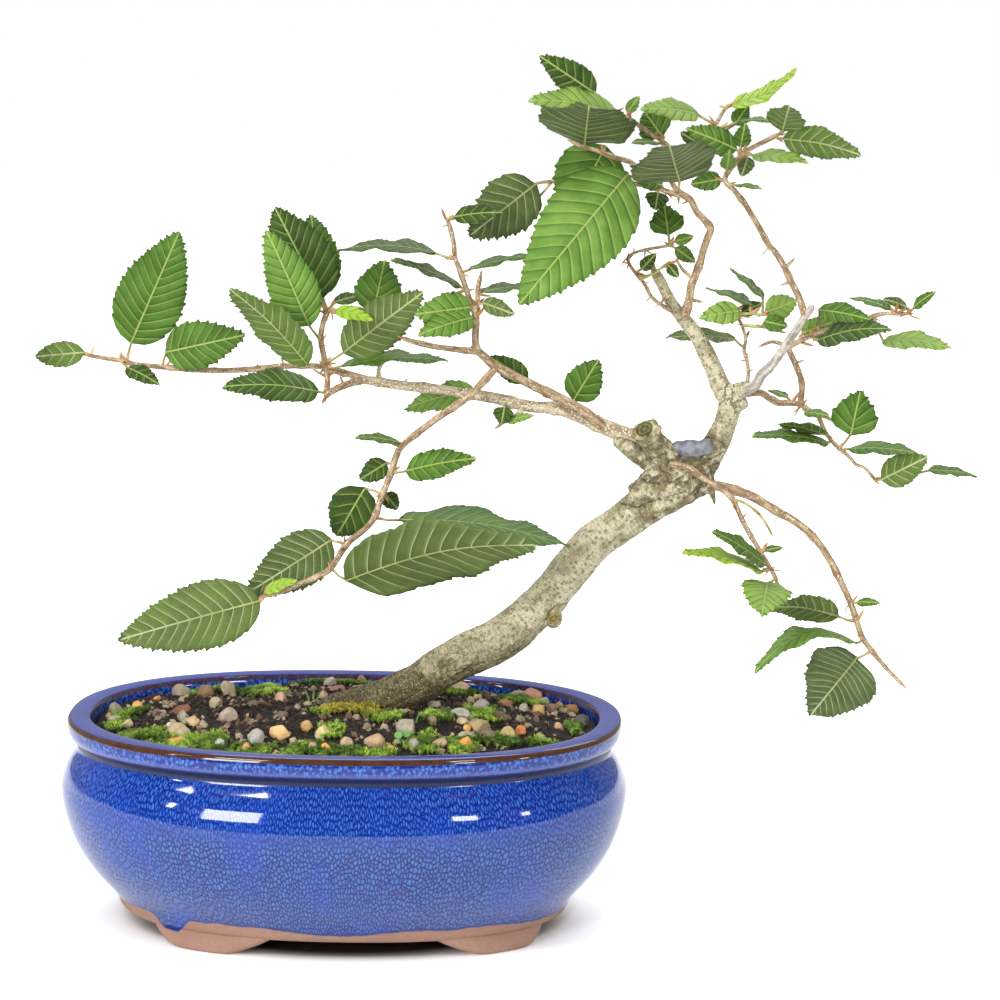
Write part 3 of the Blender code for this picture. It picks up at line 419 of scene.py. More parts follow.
def glaze_paint(s):
    z = s.along("Z")
    across = s.along("X") - POT.x
    inward = s.along("Y")
    reach = s.carried("reach")
    wobble = s.grain(120, 3.0) - 0.5

    # Blue: dark lines between small pale drops, which run longer and closer on the shoulder
    low = z.ease(0.049, 0.040)
    turn = s.math("ARCTAN2", inward - POT.y, across)

    def net(scale, tall, soft):
        """A net of cells laid flat round the pot, each so many times as tall as it is wide."""
        spot = s.node("ShaderNodeCombineXYZ", {}, {0: turn * NET_RADIUS, 1: z * (1 / tall)})
        bend = s.node("ShaderNodeTexNoise", {}, {"Vector": spot, "Scale": scale * 0.9, "Detail": 2.0},
                      out="Color")
        spot = s.node("ShaderNodeVectorMath", {"operation": "MULTIPLY_ADD"},
                      {0: bend, 1: [0.55 / scale] * 3, 2: spot})
        edge = {"feature": "DISTANCE_TO_EDGE", "voronoi_dimensions": "2D"}
        return s.node("ShaderNodeTexVoronoi", edge, {"Vector": spot, "Scale": scale}).ease(0.05, soft)

    drops = net(780, 1.5, 0.32) * low + net(1100, 2.4, 0.4) * (1.0 - low)
    drops = drops * s.grain(500, 4.0).ease(0.3, 0.62, 0.7, 1.0)
    deep = low.blend(tint("0f2074"), tint("1b1f60"))
    pale = low.blend(tint("3565b4"), tint("3c66a8"))
    colour = drops.blend(deep, pale)
    colour = (s.grain(60, 4.0, (1, 1, 0.6)).ease(0.45, 0.75) * 0.35).blend(colour, tint("1d3fa8"))
    violet = s.grain(33, 2.0).ease(0.6, 0.72) * z.ease(0.044, 0.064) * 0.25
    colour = violet.blend(colour, tint("5a3fae"))

    # The lip: paler flecks, a dark waist below it (pooled glaze and painted shade), a brown edge where glaze
    # ran off
    flecks = s.cells(900, "F1", (1, 1, 0.7), 0.0008).ease(0.2, 0.62)
    colour = z.ease(0.0655, 0.0668).blend(colour, flecks.blend(tint("3b6ab8"), tint("152a78")))
    bead = z.ease(0.0642, 0.0652) * z.ease(0.0672, 0.0662)
    colour = (bead * 0.35).blend(colour, tint("666ba8"))
    # The dark band in the waist is pooled glaze and a painted shade under the lip.
    pooled_glaze_and_shade = z.ease(0.0613, 0.0623) * z.ease(0.0658, 0.0646)
    colour = (pooled_glaze_and_shade * 0.95).blend(colour, tint("0f1438"))
    top = z.ease(0.0708, 0.0714)
    colour = (top * 0.8).blend(colour, s.grain(200, 4.0).blend(tint("2c3896"), tint("4b57ac")))
    shore = reach + wobble * 0.9
    outer = shore.ease(92.9, 93.25) * (z + wobble * 0.0012).ease(0.0694, 0.0700)
    inner_edge = shore.ease(86.75, 86.45) * z.ease(0.0690, 0.0700)
    brown = s.grain(500, 3.0).blend(tint("2c1a14"), tint("5a3a28"))
    colour = s.math("MAXIMUM", outer, inner_edge * 0.8).blend(colour, brown)

    # Bare clay below the glaze's edge, which stands highest at the left with a drip under it
    drip = abs(across + 0.0545).ease(0.0075, 0.002) * inward.ease(0.0, -0.02)
    raised = abs(across + 0.039).ease(0.036, 0.016) + abs(across - 0.036).ease(0.032, 0.012)
    edge = z - raised * 0.0019 + drip * 0.0048 - s.grain(45, 2.0) * 0.003 - s.grain(260, 2.0) * 0.001
    edge = edge - across.ease(-0.058, -0.07) * 0.002
    bare = edge.ease(0.0068, 0.0062)
    line = edge.ease(0.0082, 0.0068)
    clay = s.grain(900, 4.0).blend(tint("7d5e4d"), tint("a68270"))
    clay = s.grain(60, 3.0).ease(0.4, 0.7).blend(clay, tint("8d6b5a"))
    clay = (s.grain(1600, 2.0).ease(0.7, 0.76) * 0.7).blend(clay, tint("c4ad9c"))
    colour = (line * 0.75).blend(colour, tint("232a66"))
    return bare.blend(colour, clay), s.math("MAXIMUM", bare * 0.85, pooled_glaze_and_shade.ease(0, 1, 0.06, 0.4))


glaze = finish("blue run glaze", 0.07, glaze_paint, lambda s: s.grain(60, 1.0), 0.00012)
dress(pot, "pot_glaze", "pot", mats=[glaze])


# Lamps: two windows and five smaller lamps before the pot. Each stands where the glaze mirrors
# it into the camera at one of the photograph's gleams, and three are raised from there.

LAMP_DISTANCE = 1.1
glazed = BVHTree.FromPolygons([v.co for v in pot.data.vertices], [f.vertices for f in pot.data.polygons])


def thrown(x, z):
    """Where the camera's way through (across, up) meets the glaze, and the way it goes on from there."""
    way = sight(x, z).normalized()
    spot, _, index, _ = glazed.ray_cast(POT + EYE * MM, way)
    corners = [pot.data.vertices[i] for i in pot.data.polygons[index].vertices]
    shares = poly_3d_calc([corner.co for corner in corners], spot)
    normal = sum((corner.normal * share for corner, share in zip(corners, shares)), Vector())
    return spot, way.reflect(normal.normalized())


# Each gleam: its left and right end and its height as seen from the front in millimetres, and
# how far its lamp is raised, how tall it is, both in metres, and its power in watts.
GLEAMS = {
    "window light": (-43.6, -28.4, 49.7, 0.24, 0.1, 5.4),
    "low window": (-47.8, -28.2, 40.3, 0.0, 0.36, 8.0),
    "left lamp": (-58.5, -56.0, 44.0, 0.0, 0.15, 0.8),
    "left spot": (-56.4, -52.6, 51.5, 0.21, 0.05, 0.6),
    "right light": (35.9, 44.9, 48.3, 0.17, 0.075, 3.15),
    "right window": (37.3, 44.8, 39.4, 0.0, 0.16, 1.7),
    "right lamp": (59.6, 62.5, 41.1, 0.0, 0.12, 0.7)}
for name, (left, right, up, raised, tall, power) in GLEAMS.items():
    spot, way = thrown((left + right) / 2, up)
    place = spot + way * LAMP_DISTANCE
    facing = (LAMP_AIM - place).normalized()
    ends = []
    for x in (left, right):
        spot, way = thrown(x, up)
        ends.append(spot + way * ((place - spot).dot(facing) / way.dot(facing)))
    sideways = (LAMP_AIM - place).to_track_quat("-Z", "Y") @ Vector((1, 0, 0))
    wide = abs((ends[1] - ends[0]).dot(sideways))
    hang_lamp(name, place + Vector((0, 0, raised)), wide, tall, power)


# Drain meshes: black plastic grid squares laid over the holes in the floor, under the soil.

mesh_black = finish("black mesh plastic", 0.55, lambda s: s.grain(400).blend(tint("17181a"), tint("26282b")),
                    lambda s: s.grain(2500), 0.00008)
for name in ("drain_mesh_left", "drain_mesh_right"):
    grid_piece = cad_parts[name]
    grid_piece.data.materials.clear()
    grid_piece.data.materials.append(mesh_black)


# Soil: a low mound of dark potting soil, finely crumbed, a little below the pot's lip.

SOIL_EDGE = 67.0
SOIL_CROWN = 7.0
SOIL_REACH = 85.3
SOIL_DEPTH = SOIL_REACH - RIM_HALF_LENGTH + RIM_HALF_DEPTH
SOIL_AROUND = 144


def soil_height(x, y):
    u = x / RIM_HALF_LENGTH
    v = y / RIM_HALF_DEPTH
    swell = max(0.0, 1 - (u * u + v * v) * 1.22)
    return SOIL_EDGE + SOIL_CROWN * swell + 0.5 * math.sin(0.16 * x) * math.cos(0.19 * y)


def lumpy(x, y):
    """The soil's height with its lumps, in millimetres."""
    rough = noise.fractal(Vector((x * 0.09, y * 0.09, 3.1)), 1.0, 2.1, 5)
    return soil_height(x, y) + 0.9 * rough


SOIL_SIDE = ((17.4, 13.9), (2.2, 34.0), (0.0, 64.0))
soil_rings = [oval(SOIL_REACH - inset, z, SOIL_AROUND) for inset, z in SOIL_SIDE]
rows = 46
for i in range(rows):
    share = 1 - (i / rows) ** 1.1
    ring = []
    for place in oval(SOIL_REACH, 0.0, SOIL_AROUND):
        x = (place.x - POT.x) / MM * share
        y = (place.y - POT.y) / MM * share
        ring.append(POT + Vector((x, y, lumpy(x, y))) * MM)
    soil_rings.append(ring)
soil = from_bmesh("soil_mound", loft(soil_rings))


def soil_paint(s):
    return s.grain(900, 6.0).ease(0.35, 0.72).blend(tint("0b0705"), tint("33241a"))


bare_soil = finish("damp potting soil", 0.9, soil_paint, lambda s: s.grain(1100, 5.0), 0.0008)
dress(soil, "soil", "soil", mats=[bare_soil])


# Patches of moss as (across, inward, half length, half depth) in millimetres: along the front
# and the front left of the lip, beside the trunk's foot, and in cushions at the right.
MOSS_PATCHES = (
    (-73, 2, 5, 4), (-66, -30, 12, 5), (-52, -40, 12, 5), (-40, -42, 5, 6), (-30, -50, 10, 5),
    (-12, -53, 5, 4), (2, -52, 12, 5), (14, -52, 5, 4), (-2, -34, 3, 6), (2, -8, 8, 6), (14, -16, 5, 5),
    (-6, -14, 5, 4), (33, -14, 6, 8), (47, -3, 7, 7), (28, -42, 6, 9), (42, -40, 6, 8), (54, -34, 8, 5),
    (68, -30, 6, 4), (78, -8, 3, 8), (48, -53, 6, 3), (-30, 26, 8, 6), (30, 34, 12, 6), (0, 52, 20, 4),
    (-50, 38, 8, 5), (60, 30, 9, 6), (-76, -12, 3, 8))


def grass_share(x, y):
    """How much moss grows at a spot on the soil, from 0 to 1."""
    wander = noise.fractal(Vector((x * 0.12, y * 0.12, 7.7)), 1.0, 2.0, 3)
    best = 0.0
    for across, inward, half_long, half_deep in MOSS_PATCHES:
        away = math.hypot((x - across) / half_long, (y - inward) / half_deep)
        best = max(best, 1.25 - away + 0.5 * wander)
    return min(1.0, max(0.0, best * 1.8))


def planted(name, carrier, values, shape, mat, sow):
    """Geometry Nodes: set a small shape at points of a carrier mesh and give back a plain mesh.

    `values` are the tree's named inputs. sow(node, given) gives the points, the turn and the
    size of each shape, and the seed of the tone that each one carries.
    """
    tree = bpy.data.node_groups.new(name, "GeometryNodeTree")
    tree.is_modifier = True
    tree.interface.new_socket("Geometry", in_out="INPUT", socket_type="NodeSocketGeometry")
    for label in values:
        kind = "NodeSocketInt" if label == "Seed" else "NodeSocketFloat"
        tree.interface.new_socket(label, in_out="INPUT", socket_type=kind)
    tree.interface.new_socket("Geometry", in_out="OUTPUT", socket_type="NodeSocketGeometry")
    node = Shade(tree).node
    given = {label: node("NodeGroupInput", out=label) for label in ("Geometry", *values)}
    points, turn, size, seed = sow(node, given)
    source = node("GeometryNodeObjectInfo", {}, {"Object": shape}, out="Geometry")
    placed = node("GeometryNodeInstanceOnPoints", {},
                  {"Points": points, "Instance": source, "Rotation": turn, "Scale": size})
    tone = node("FunctionNodeRandomValue", {"data_type": "FLOAT"}, {"Seed": seed}, out=1)
    toned = node("GeometryNodeStoreNamedAttribute", {"data_type": "FLOAT", "domain": "INSTANCE"},
                 {"Geometry": placed, "Name": "tone", "Value": tone})
    real = node("GeometryNodeRealizeInstances", {}, {0: toned})
    painted = node("GeometryNodeSetMaterial", {}, {"Geometry": real, "Material": mat})
    tree.links.new(painted.socket, tree.nodes.new("NodeGroupOutput").inputs[0])
    obj = add(name, carrier)
    modifier = obj.modifiers.new(name, "NODES")
    modifier.node_group = tree
    for item in tree.interface.items_tree:
        if item.name in values:
            modifier[item.identifier] = values[item.name]
    return baked(obj)


def scatter(name, carrier, density, size, spread, seed, shape, mat, tilt):
    """Strew a small shape over a carrier mesh, tipped at random by up to so much."""
    def sow(node, given):
        share = node("GeometryNodeInputNamedAttribute", {"data_type": "FLOAT"}, {"Name": "share"},
                     out="Attribute")
        points = node("GeometryNodeDistributePointsOnFaces", {},
                      {"Mesh": given["Geometry"], "Density": share * given["Density"], "Seed": given["Seed"]},
                      out="Points")
        turn = node("FunctionNodeRandomValue", {"data_type": "FLOAT_VECTOR"},
                    {0: (-tilt, -tilt, 0), 1: (tilt, tilt, math.tau), "Seed": given["Seed"]}, out=0)
        low = given["Size"] - given["Spread"]
        high = given["Size"] + given["Spread"]
        scale = node("FunctionNodeRandomValue", {"data_type": "FLOAT"},
                     {2: low, 3: high, "Seed": given["Seed"]}, out=1)
        return points, turn, scale, given["Seed"]

    values = {"Density": density, "Size": size, "Spread": spread, "Seed": seed}
    obj = planted(name, carrier, values, shape, mat, sow)
    bpy.data.objects.remove(shape)
    return obj


STREWN_SHARE = 0.97


def soil_carrier(name, share, lift=0.0):
    """A bare copy of the soil's top that carries how much of something lies at each point."""
    bm = bmesh.new()
    layer = bm.verts.layers.float.new("share")
    across, deep = 96, 72
    grid = {}
    for i in range(across + 1):
        for j in range(deep + 1):
            x = (2 * i / across - 1) * SOIL_REACH * STREWN_SHARE
            y = (2 * j / deep - 1) * SOIL_DEPTH * STREWN_SHARE
            if reach_of(x, y) < SOIL_REACH * STREWN_SHARE:
                grid[i, j] = bm.verts.new(POT + Vector((x, y, lumpy(x, y) + lift)) * MM)
                grid[i, j][layer] = share(x, y)
    for i, j in list(grid):
        corners = [(i, j), (i + 1, j), (i + 1, j + 1), (i, j + 1)]
        if all(c in grid for c in corners):
            bm.faces.new([grid[c] for c in corners])
    mesh = bpy.data.meshes.new(name)
    bm.to_mesh(mesh)
    bm.free()
    return mesh


# Crumbs: coarse bits of bark, grit and soil lying loose over the mound, and finer ones between.

def chip(seed):
    """A small angular lump, a millimetre in radius and a little flat."""
    bm = bmesh.new()
    bmesh.ops.create_icosphere(bm, subdivisions=1, radius=MM)
    random.seed(seed)
    for vert in bm.verts:
        vert.co *= random.uniform(0.6, 1.2)
        vert.co.z *= 0.8
    return from_bmesh("chip", bm, False)


CRUMB_TONES = ((0.0, tint("0c0706")), (0.5, tint("21160f")), (0.74, tint("3c2a1e")), (0.87, tint("7a6148")),
               (0.96, tint("b5a288")))


def crumb_paint(s):
    bits = s.node("ShaderNodeValToRGB", {"stops": CRUMB_TONES}, {0: s.carried("tone")})
    return s.grain(1500, 3.0).ease(0.3, 0.75, 0.0, 0.45).blend(bits, tint("1c120c"))


crumb_mat = finish("soil crumbs", 0.88, crumb_paint, lambda s: s.grain(2200), 0.0003)
for name, density, size, spread, seed in (("soil_crumbs", 190000.0, 0.7, 0.35, 3),
                                          ("soil_clods", 52000.0, 1.4, 0.55, 6)):
    bare = soil_carrier(name, lambda x, y: 1 - 0.6 * grass_share(x, y))
    crumbs = scatter(name, bare, density, size, spread, seed, chip(seed), crumb_mat, math.pi)
    crumbs.data.shade_flat()
    dress(crumbs, "soil")


# Stones: broken gravel of several rocks, bedded in the soil where the photograph shows them.

def seen(point):
    """Turn (across, up, depth) in the front view, in millimetres, into a place in space."""
    x, z, y = point[:3]
    right = x - VIEW_MIDDLE[0]
    up = z - VIEW_MIDDLE[1]
    x -= up * VIEW_LEAN
    z += right * VIEW_LEAN
    t = 1 + y / EYE_DISTANCE
    across = EYE_ACROSS + (x - EYE_ACROSS) * t - POT_ASIDE[0]
    return POT + Vector((across, y - POT_ASIDE[1], EYE_HEIGHT + (z - EYE_HEIGHT) * t)) * MM


def on_soil(x, z):
    """The spot on the soil that shows at (across, up) in the front view, from the pot's middle."""
    way = sight(x, z)
    height = SOIL_EDGE + 4
    for _ in range(8):
        spot = EYE + way * ((height - EYE.z) / way.z)
        height = soil_height(spot.x, spot.y) + 1
    room_left = SOIL_REACH - 4 - reach_of(spot.x, spot.y)
    if room_left < 0:
        spot *= 1 + room_left / SOIL_REACH
    return spot.x, spot.y


# Each stone: across, up, width and height as seen from the front in millimetres, and its colour.
STONES = (
    (-75.8, 75.7, 4.1, 4.1, "8a8a70"), (-79.2, 73.7, 2.6, 2.6, "c99a6a"), (-75.8, 72.4, 4, 4, "a8a49a"),
    (-68.4, 76.6, 4, 4, "e0a560"), (-71.4, 71.1, 3.3, 3.3, "c8b98a"), (-61.8, 79.8, 2.6, 2.6, "d08a4a"),
    (-53.6, 81.6, 6, 5.5, "9a8a74"), (-45.5, 80.9, 6, 5.5, "8a6a48"), (-37.7, 81.1, 5.5, 7, "a89a7a"),
    (-42.2, 77.7, 4, 4, "b5a487"), (-54, 76.1, 7.4, 2.5, "8a4a2a"), (-52.9, 73.3, 4.4, 4, "a09a8a"),
    (-49.9, 71.6, 4.4, 4, "c8a97a"), (-54.4, 68.5, 7, 4, "b5a27a"), (-57.7, 70.3, 2.5, 2.5, "e0e0d5"),
    (-55.5, 65.6, 6, 2.6, "e39a55"), (-41, 64, 3, 3, "c8c8c0"), (-38, 73.3, 5.5, 5, "b0a08a"),
    (-29.2, 66.3, 5.5, 5, "b5b0a8"), (-31.8, 62.6, 3.5, 3.5, "d99a5f"), (-20.8, 67.5, 6.7, 5, "efc080"),
    (-11.9, 69.9, 3.7, 3.7, "c09a5a"), (-6.8, 67.6, 4, 4.8, "d8c890"), (1.4, 65, 3.7, 4.4, "cdb090"),
    (10.6, 66.2, 6, 4.4, "c0a078"), (21.4, 69.1, 6.3, 5.5, "a8a08c"), (24, 63.6, 4, 4, "9a9484"),
    (16, 62.8, 2.2, 2.2, "e0955a"), (-9.7, 62.1, 3, 3, "c09a80"), (-5.6, 61.7, 3.3, 3.3, "e8a050"),
    (-4.2, 84.5, 4, 4, "b5a89a"), (-1.2, 82.5, 6.5, 3, "9a6a50"), (-6.4, 80.8, 3, 3, "c0a080"),
    (7.3, 85.4, 4.4, 4.4, "8a6a50"), (-25.3, 81.7, 3, 3, "9a8a78"), (-20.6, 79.7, 4, 4, "c8a585"),
    (39, 83, 7, 4, "b5a07a"), (30.5, 77.5, 4.4, 3, "b5ae98"), (46.2, 76.3, 5.5, 4.8, "9a8f8a"),
    (42.7, 79.3, 2.6, 2.6, "d5c48a"), (45.1, 80.3, 2.6, 2.6, "e0dca0"), (39.4, 74.1, 6.3, 3.5, "b8b4a4"),
    (40.1, 71.3, 4, 2.6, "c4b48c"), (41.4, 69.5, 2.6, 2.6, "e0a850"), (45.5, 69.7, 7.4, 5, "a8906a"),
    (48.6, 67.3, 5, 3.6, "7a6a58"), (41.8, 67.5, 6, 2.4, "a8a090"), (41, 63.9, 4.8, 4.4, "f0a850"),
    (32.5, 64.3, 4.4, 3.4, "c0a080"), (55.1, 66.9, 4.4, 5, "c8b078"), (59.5, 68.3, 3.3, 3.3, "d98a50"),
    (54, 78, 5, 3.3, "b07a58"), (60.5, 76.2, 3, 3, "b5aa98"), (61.4, 80.2, 7.4, 4, "a8a07a"),
    (68.0, 80.0, 8.4, 5.2, "b8826a"), (62.5, 78.7, 2.6, 2.6, "c49a70"), (66.5, 78.0, 4.5, 4, "a8a498"),
    (65.6, 75.3, 4, 4, "c8a068"), (69.9, 76.2, 3.5, 3.5, "8a6a5a"), (76.9, 77.2, 3.3, 3.3, "b8904a"),
    (80, 75.4, 4.4, 4.2, "a87a40"), (79.8, 71.3, 5, 4.4, "4a4a4a"), (72, 70, 2.6, 2.6, "d9a080"),
    (66.2, 65.4, 2.5, 2.5, "b09a84"), (52.9, 73.6, 6.5, 3, "5a3a2a"), (-20, 74, 3.4, 3, "6d5a48"),
    (-30, 77.5, 3.6, 3, "7c6b58"), (8, 70.5, 3.2, 2.8, "84705a"), (30, 72, 3.4, 3, "8f7a62"),
    (-62, 74.5, 3.4, 3, "6f5c4a"), (59, 72.5, 3.6, 3.2, "8d7b66"), (-46, 68, 3, 2.8, "77654f"))


def stone_paint(s):
    rock_colour = s.node("ShaderNodeAttribute", {"attribute_name": "rock"}, out="Color")
    return s.grain(420, 5.0).ease(0.35, 0.72, 0.0, 0.42).blend(rock_colour, tint("6a5a4a"))


stone_mat = finish("broken gravel", 0.6, stone_paint, lambda s: s.grain(900, 5.0), 0.00045)
bm = bmesh.new()
rock = bm.verts.layers.float_color.new("rock")
for index, (x, z, wide, tall, code) in enumerate(STONES):
    px, py = on_soil(x, z)
    random.seed(index * 5 + 2)
    push = Vector((index * 3.7, 1.3, 0.0))
    turn = Matrix.Rotation(random.uniform(-0.5, 0.5), 4, "Z")
    turn = turn @ Matrix.Rotation(random.uniform(-0.25, 0.25), 4, "Y")
    fresh = bmesh.ops.create_icosphere(bm, subdivisions=4, radius=1.0)["verts"]
    facets = [Vector([random.gauss(0, 1) for _ in range(3)]).normalized() for _ in range(11)]
    depths = [random.uniform(0.62, 0.9) for _ in facets]
    seat = Vector((px, py, lumpy(px, py) + 0.22 * tall))
    for vert in fresh:
        direction = vert.co.normalized()
        cut = min([1.0] + [depth / max(0.05, direction.dot(facet)) for facet, depth in zip(facets, depths)])
        swell = cut * (1.06 + 0.05 * noise.noise(direction * 2.4 + push))
        stretched = Vector((direction.x * wide * 0.56, direction.y * wide * 0.5, direction.z * tall * 0.62))
        vert.co = POT + (turn @ (stretched * swell) + seat) * MM
        vert[rock] = tint(code)
stones = from_bmesh("gravel", bm)
dress(stones, "soil", mats=[stone_mat])


# Moss: short upright shoots ringed with tiny leaves, in patches, yellower at the trunk's foot.

bm = bmesh.new()
for k in range(9):
    a = 2.4 * k
    z = (0.25 + 0.085 * k) * MM
    reach = (1.0 - 0.06 * k) * MM
    side = Vector((-math.sin(a), math.cos(a), 0)) * 0.16 * MM
    root = Vector((0, 0, z))
    tip = Vector((math.cos(a), math.sin(a), 0.9)) * reach + root
    bm.faces.new([bm.verts.new(p) for p in (root - side, root + side, tip)])
shoot = from_bmesh("shoot", bm)
TRUNK_FOOT = POT + Vector((2, -8, 74)) * MM


def moss_paint(s):
    tone = s.carried("tone")
    fresh = tone.blend(tint("557a1e"), tint("b4d352"))
    dark = tone.blend(tint("243a0e"), tint("5a7a24"))
    yellow = tone.blend(tint("6f6a18"), tint("b3a93a"))
    colour = s.grain(70, 3.0).ease(0.38, 0.62).blend(dark, fresh)
    return s.away_from(TRUNK_FOOT).ease(0.014, 0.009).blend(colour, yellow)


moss_green = finish("living moss", 0.75, moss_paint)
mossy_soil = soil_carrier("moss", grass_share, 0.2)
moss = scatter("moss_mat", mossy_soil, 2100000.0, 1.2, 0.5, 8, shoot, moss_green, 0.35)
moss.data.shade_smooth()
dress(moss, "soil")


# Weeds: a clover seedling with two round leaves, and a few blades of grass.

weed_green = finish("young weed leaf", 0.5, lambda s: s.grain(500, 2.0).blend(tint("54803f"), tint("79a860")))
bm = bmesh.new()
CLOVER_FOOT = 20.1
for x, z in ((18.7, 66.0), (21.4, 66.4)):
    px, py = on_soil(x, z)
    place = POT + Vector((px, py - 1.5, lumpy(px, py) + 2.6)) * MM
    facing = (camera.location - place).normalized().lerp(Vector((0, 0, 1)), 0.35)
    turn = facing.to_track_quat("Z", "Y").to_matrix().to_4x4()
    bmesh.ops.create_cone(bm, cap_ends=True, segments=18, radius1=1.4 * MM, radius2=1.3 * MM, depth=0.2 * MM,
                          matrix=Matrix.Translation(place) @ turn)
    foot = POT + Vector((px + (CLOVER_FOOT - x) * 0.8, py, lumpy(px, py) - 0.5)) * MM
    rise = place - foot
    turn = rise.to_track_quat("Z", "Y").to_matrix().to_4x4()
    bmesh.ops.create_cone(bm, cap_ends=True, segments=8, radius1=0.25 * MM, radius2=0.2 * MM,
                          depth=rise.length, matrix=Matrix.Translation((place + foot) / 2) @ turn)

# Each blade of grass: across in the front view, how far it leans for its height, and its height.
GRASS = ((-9.8, 0.1, 7.0), (-11.2, -0.35, 5.5), (-8.6, 0.5, 4.5), (24.5, 0.3, 5.0), (60.0, -0.2, 4.6))
for x, lean, tall in GRASS:
    px, py = on_soil(x, 79.5 if x < 0 else 72.0)
    rows = []
    for i in range(7):
        t = i / 6
        width = 0.32 * (1 - t ** 2) + 0.03
        centre = Vector((px + lean * tall * t * t, py - 0.8 * t, lumpy(px, py) + tall * t - 0.4))
        rows.append([bm.verts.new(POT + (centre + Vector((side * width, -0.12 * abs(side), 0))) * MM)
                     for side in (-1, 0, 1)])
    for low, high in zip(rows, rows[1:]):
        for k in (0, 1):
            bm.faces.new((low[k], low[k + 1], high[k + 1], high[k]))
dress(from_bmesh("weeds", bm, False), "soil", mats=[weed_green])


# Trunk: one leaning stem with its surface roots, knuckled crotch, sawn stub and grey dead limb,
# under thin pale bark that is mottled with olive and freckled with raised pores.

WOOD = (
    ((-22, 66, 1, 4), (-13, 70, 1, 7), (-3, 73.4, 1, 10), (6.4, 75.4, 1, 11.6), (13.6, 77.2, 0.5, 13),
     (20.8, 80.1, 0, 13.6), (26.5, 82.9, -0.5, 14), (30.5, 86, -1, 14), (35.5, 89.2, -1.5, 14.3),
     (41, 92.2, -2, 14.8), (50, 96, -2, 15.1), (58, 101.7, -2, 14.7), (66, 109.6, -1, 13.2),
     (72, 116.2, 0, 13.3), (78, 123.8, 0, 13.6), (84, 130.8, 0, 13.6), (92, 136.5, 0, 12.8),
     (100, 142.5, 0, 13), (110, 148.6, 0, 14), (118, 153, 0, 13), (123, 156, 0, 9)),
    ((24, 81, 1, 12), (18, 70, 2, 11), (15, 60, 2, 8), (14, 52, 2, 5)),
    ((20, 76, 3, 11), (14, 76.2, 15, 7.5), (8, 76.2, 26, 4)),
    ((69, 111, 0, 8), (70.5, 105, -1, 5.6), (71, 101.8, -1.5, 3.6)),
    ((98, 145, 0, 11), (108, 151, -1, 14), (118, 153, 0, 14), (124, 154.5, 0, 9)),
    ((107, 156, 0, 8), (114, 160, 0, 10), (120, 160.5, 0, 10), (124.5, 164, 0, 8)),
    ((112, 150, 0, 11), (120, 156, 0, 10), (125, 165, 1, 8.6), (128, 171, 1, 8.1), (129.5, 177, 1, 8),
     (130, 182, 1, 7.4)),
    ((129, 178, 1, 5), (135.5, 178.3, -1, 4)),
    ((130, 182, 1, 5), (136, 184.6, 1, 4)),
    ((130, 179, 1, 7.8), (126.5, 184, 2, 6.6), (124, 190, 3, 6), (121, 196, 4, 5.6), (117.5, 202, 5, 5.1),
     (114.5, 206, 6, 4.8), (111, 210, 7, 4.4), (108.5, 214, 8, 4), (106, 219, 8, 3.8),
     (104, 222.5, 8, 3.5)),
    ((104, 221.5, 8, 2.4), (103, 225, 8, 2), (101, 228, 8, 1.5)),
    ((131, 181, 0, 5), (133.5, 182.5, -2, 4.2), (138, 184.5, -4, 3.6), (140, 188, -5, 3.4),
     (143, 191, -6, 3.3), (146, 195, -7, 3.2), (149, 199.5, -8, 3), (152, 204, -8, 2.8),
     (154.5, 208, -9, 2.6), (157, 211.5, -9, 2.4)),
    ((111, 156, -2, 10), (106, 163, -5, 9), (102.5, 167.5, -7.5, 7.4), (100.8, 169.6, -10, 6.4)),
    ((108, 155, -2, 6), (104, 157.5, -3, 5), (97, 162, -3, 4.2), (91, 166, -1, 3.4)),
    ((123, 149.5, -2, 2.6), (125, 143.5, -2.5, 1.6)),
)
TRUNK_STEP = 1.5


def smooth_path(rows, step):
    """Places and radii every `step` millimetres on a smooth line through rows of a table."""
    spots = [seen(row) for row in rows]
    radii = [row[3] / 2 * MM for row in rows]
    places = []
    sizes = []
    for i in range(len(spots) - 1):
        before = spots[max(i - 1, 0)]
        after = spots[min(i + 2, len(spots) - 1)]
        start, end = spots[i], spots[i + 1]
        count = max(1, round((end - start).length / (step * MM)))
        for k in range(count + (i == len(spots) - 2)):
            t = k / count
            bend = 2 * before - 5 * start + 4 * end - after
            sway = 3 * start - before - 3 * end + after
            places.append(0.5 * (2 * start + (end - before) * t + bend * t * t + sway * t ** 3))
            sizes.append(radii[i] + (radii[i + 1] - radii[i]) * t)
    return places, sizes


def frames(places):
    """Two cross directions at each place of a path, turning as little as they can."""
    turns = []
    side = None
    for i, place in enumerate(places):
        along = (places[min(i + 1, len(places) - 1)] - places[max(i - 1, 0)]).normalized()
        if side is None:
            side = along.orthogonal()
        side = (side - along * side.dot(along)).normalized()
        turns.append((side.copy(), along.cross(side)))
    return turns


